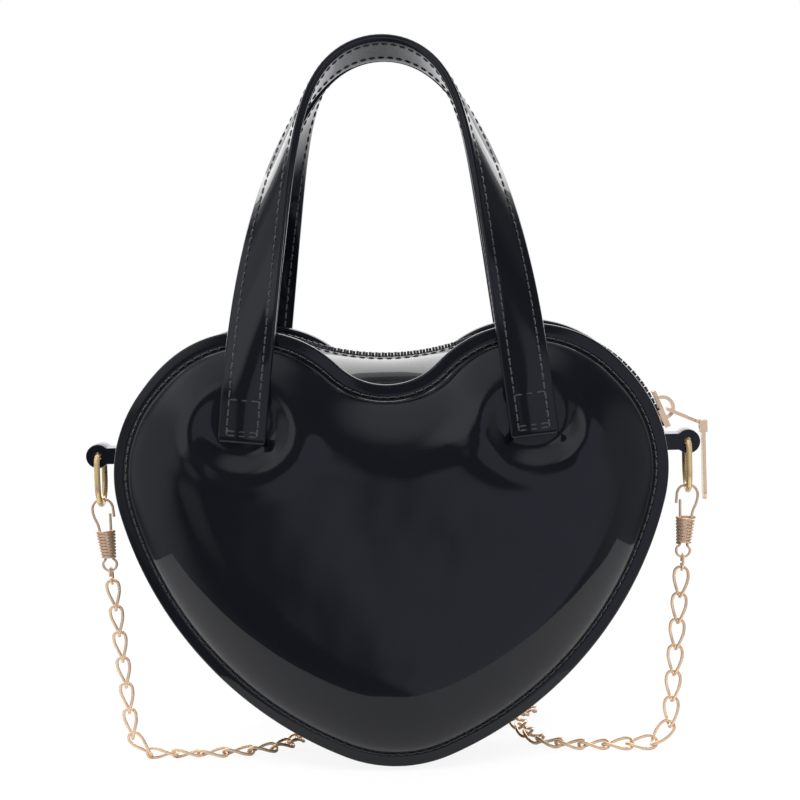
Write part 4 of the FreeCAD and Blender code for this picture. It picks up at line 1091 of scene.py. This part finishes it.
def build_coils():
    """Tapered close spring round each clasp's legs."""
    turns = np.linspace(0, COIL_TURNS, COIL_STATIONS)
    radii = COIL_TOP_RADIUS + (COIL_FOOT_RADIUS - COIL_TOP_RADIUS) * turns / COIL_TURNS
    swings = 2 * math.pi * turns
    lean = math.radians(CLASP_LEAN)
    fall = COIL_TOP - turns * COIL_PITCH
    across = radii * np.cos(swings)
    line = np.stack([across * math.cos(lean) + fall * math.sin(lean), radii * np.sin(swings),
                     fall * math.cos(lean) - across * math.sin(lean)], axis=1) + ring_foot()
    for side, place in zip(SIDES, FACES.values()):
        name = side + "_spring"
        spring = new_object(name, bar_mesh(name, place(line), COIL_WIRE / 2), ROSE_DULL)
        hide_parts(side + "_clasp_coil")
        ride(spring, side + "_clasp")


# Stage, lights and camera.

PAPER_WIDE = 0.24
PAPER_FRONT = -0.1
PAPER_BACK = 0.7
PAPER_WHITE_SHARE = 0.8
PAPER_GLOW = 1.12
PAPER_COLOUR = (0.52, 0.52, 0.52, 1.0)


def build_floor():
    """White paper under the bag, whose front edge lies below the camera's view."""
    points = [(-PAPER_WIDE, PAPER_FRONT, FLOOR_HEIGHT), (PAPER_WIDE, PAPER_FRONT, FLOOR_HEIGHT),
              (PAPER_WIDE, PAPER_BACK, FLOOR_HEIGHT), (-PAPER_WIDE, PAPER_BACK, FLOOR_HEIGHT)]
    mesh = bpy.data.meshes.new("floor")
    mesh.from_pydata(points, [], [(0, 1, 2, 3)])
    material, nodes, links, shader = new_material("floor_paper")
    set_values(shader, Roughness=0.9, Base_Color=PAPER_COLOUR)
    white = nodes.new("ShaderNodeEmission")
    set_values(white, Strength=PAPER_GLOW)
    path = nodes.new("ShaderNodeLightPath")
    part = nodes.new("ShaderNodeMath")
    part.operation = "MULTIPLY"
    part.inputs[1].default_value = PAPER_WHITE_SHARE
    mix = nodes.new("ShaderNodeMixShader")
    result = next(node for node in nodes if node.type == "OUTPUT_MATERIAL")
    links.new(path.outputs["Is Camera Ray"], part.inputs[0])
    links.new(part.outputs["Value"], mix.inputs["Fac"])
    links.new(shader.outputs["BSDF"], mix.inputs[1])
    links.new(white.outputs["Emission"], mix.inputs[2])
    links.new(mix.outputs["Shader"], result.inputs["Surface"])
    new_object("floor", mesh, material)


LAMP_GOAL = (0.0, 0.0, -0.14)
# Lamps: name, place, width, height and power in watts.
LAMPS = [
    ("top_box", (0.0, 0.75, 0.8), 1.4, 0.7, 7),
    ("left_box", (-1.0, 0.9, 0.45), 0.5, 1.0, 4),
    ("right_box", (1.0, 0.9, 0.45), 0.5, 1.0, 4),
    ("front_key", (0.15, -1.1, 0.6), 0.8, 0.8, 25),
]
UNMIRRORED_LAMP = "front_key"


def area_light(name, place, wide, tall, power):
    """Soft box aimed at the bag."""
    data = bpy.data.lights.new(name, "AREA")
    data.shape = "RECTANGLE"
    data.size = wide
    data.size_y = tall
    data.energy = power
    lamp = bpy.data.objects.new(name, data)
    bpy.context.scene.collection.objects.link(lamp)
    lamp.location = place
    lamp.rotation_euler = (Vector(LAMP_GOAL) - Vector(place)).to_track_quat("-Z", "Y").to_euler()
    lamp.visible_glossy = name != UNMIRRORED_LAMP


def build_lights():
    """Boxes above and behind, and a key in front that the glossy sheet doesn't mirror."""
    for lamp in LAMPS:
        area_light(*lamp)


# Soft patches of the dim room in front: direction, reach and edge in degrees, and colour.
ROOM_PATCHES = [
    ((0.465, -0.875, -0.125), 28.8, 4.5, (0.36, 0.38, 0.48)),
    ((-0.5, -0.75, 0.43), 13.0, 10.0, (0.68, 0.7, 0.76)),
    ((-0.65, -0.25, 0.7), 10.0, 20.0, (0.75, 0.77, 0.82)),
    ((-0.42, -0.9, -0.08), 3.0, 10.0, (0.3, 0.31, 0.34)),
    ((-1.0, -0.3, 0.05), 18.0, 22.0, (0.42, 0.43, 0.46)),
    ((1.0, -0.3, 0.0), 16.0, 22.0, (0.28, 0.29, 0.32)),
    ((-0.15, -0.3, 0.95), 16.0, 24.0, (0.5, 0.52, 0.58)),
]
ROOM_DARK = (0.09, 0.1, 0.13)
BACKDROP = (0.95, 0.95, 0.97)
BACKDROP_WAY = (0.0, 1.0, 0.2)
BACKDROP_REACH = 45.0
BACKDROP_EDGE = 28.0
WHITE = (1.0, 1.0, 1.0)


def add_mix(nodes, links, share, under, over):
    """Colour laid over another by a share."""
    mix = nodes.new("ShaderNodeMix")
    mix.data_type = "RGBA"
    links.new(share, mix.inputs["Factor"])
    sockets = [socket for socket in mix.inputs if socket.type == "RGBA"]
    for source, socket in zip((under, over), sockets):
        if isinstance(source, tuple):
            socket.default_value = (*source, 1)
        else:
            links.new(source, socket)
    return next(socket for socket in mix.outputs if socket.type == "RGBA")


def toward_share(nodes, links, source, direction, reach, edge):
    """1 within a reach of a direction, falling smoothly to 0 over its edge."""
    near = nodes.new("ShaderNodeVectorMath")
    near.operation = "DOT_PRODUCT"
    near.inputs[1].default_value = Vector(direction).normalized()
    links.new(source, near.inputs[0])
    ramp = nodes.new("ShaderNodeMapRange")
    ramp.interpolation_type = "SMOOTHSTEP"
    set_values(ramp, From_Min=math.cos(math.radians(reach + edge)), From_Max=math.cos(math.radians(reach)))
    links.new(near.outputs["Value"], ramp.inputs["Value"])
    return ramp.outputs["Result"]


def build_world():
    """White behind the object; in front, the dim room that a glossy black sheet reflects."""
    world = bpy.data.worlds.new("studio")
    bpy.context.scene.world = world
    world.use_nodes = True
    nodes = world.node_tree.nodes
    links = world.node_tree.links
    back = next(node for node in nodes if node.type == "BACKGROUND")
    place = nodes.new("ShaderNodeTexCoord").outputs["Generated"]
    colour = ROOM_DARK
    for direction, reach, edge, tint in ROOM_PATCHES:
        share = toward_share(nodes, links, place, direction, reach, edge)
        colour = add_mix(nodes, links, share, colour, tint)
    behind = toward_share(nodes, links, place, BACKDROP_WAY, BACKDROP_REACH, BACKDROP_EDGE)
    colour = add_mix(nodes, links, behind, colour, BACKDROP)
    camera = nodes.new("ShaderNodeLightPath").outputs["Is Camera Ray"]
    colour = add_mix(nodes, links, camera, colour, WHITE)
    links.new(colour, back.inputs["Color"])


CAMERA_DISTANCE = 0.88
CAMERA_TURN = 1.7
CAMERA_RISE = 3.5
CAMERA_ROLL = -1.6
CAMERA_GOAL = (0.0033, 0.0, -0.1274)
CAMERA_LENS = 107.0


def build_camera():
    """Camera at the photograph's angle, rolled as the bag hangs a little askew there."""
    data = bpy.data.cameras.new("camera")
    data.lens = CAMERA_LENS
    camera = bpy.data.objects.new("camera", data)
    bpy.context.scene.collection.objects.link(camera)
    turn = math.radians(CAMERA_TURN)
    rise = math.radians(CAMERA_RISE)
    way = Vector((math.sin(turn) * math.cos(rise), -math.cos(turn) * math.cos(rise), math.sin(rise)))
    camera.location = Vector(CAMERA_GOAL) + way * CAMERA_DISTANCE
    level = (-way).to_track_quat("-Z", "Y")
    camera.rotation_euler = (level @ Quaternion((0, 0, 1), math.radians(CAMERA_ROLL))).to_euler()
    bpy.context.scene.camera = camera


dress_nodes()
build_panels()
build_bottom_gusset()
build_top_strips()
build_tapes()
build_handles()
build_tabs()
build_hank()
build_coils()
build_floor()
build_lights()
build_world()
build_camera()
bpy.context.scene.view_settings.view_transform = "Standard"
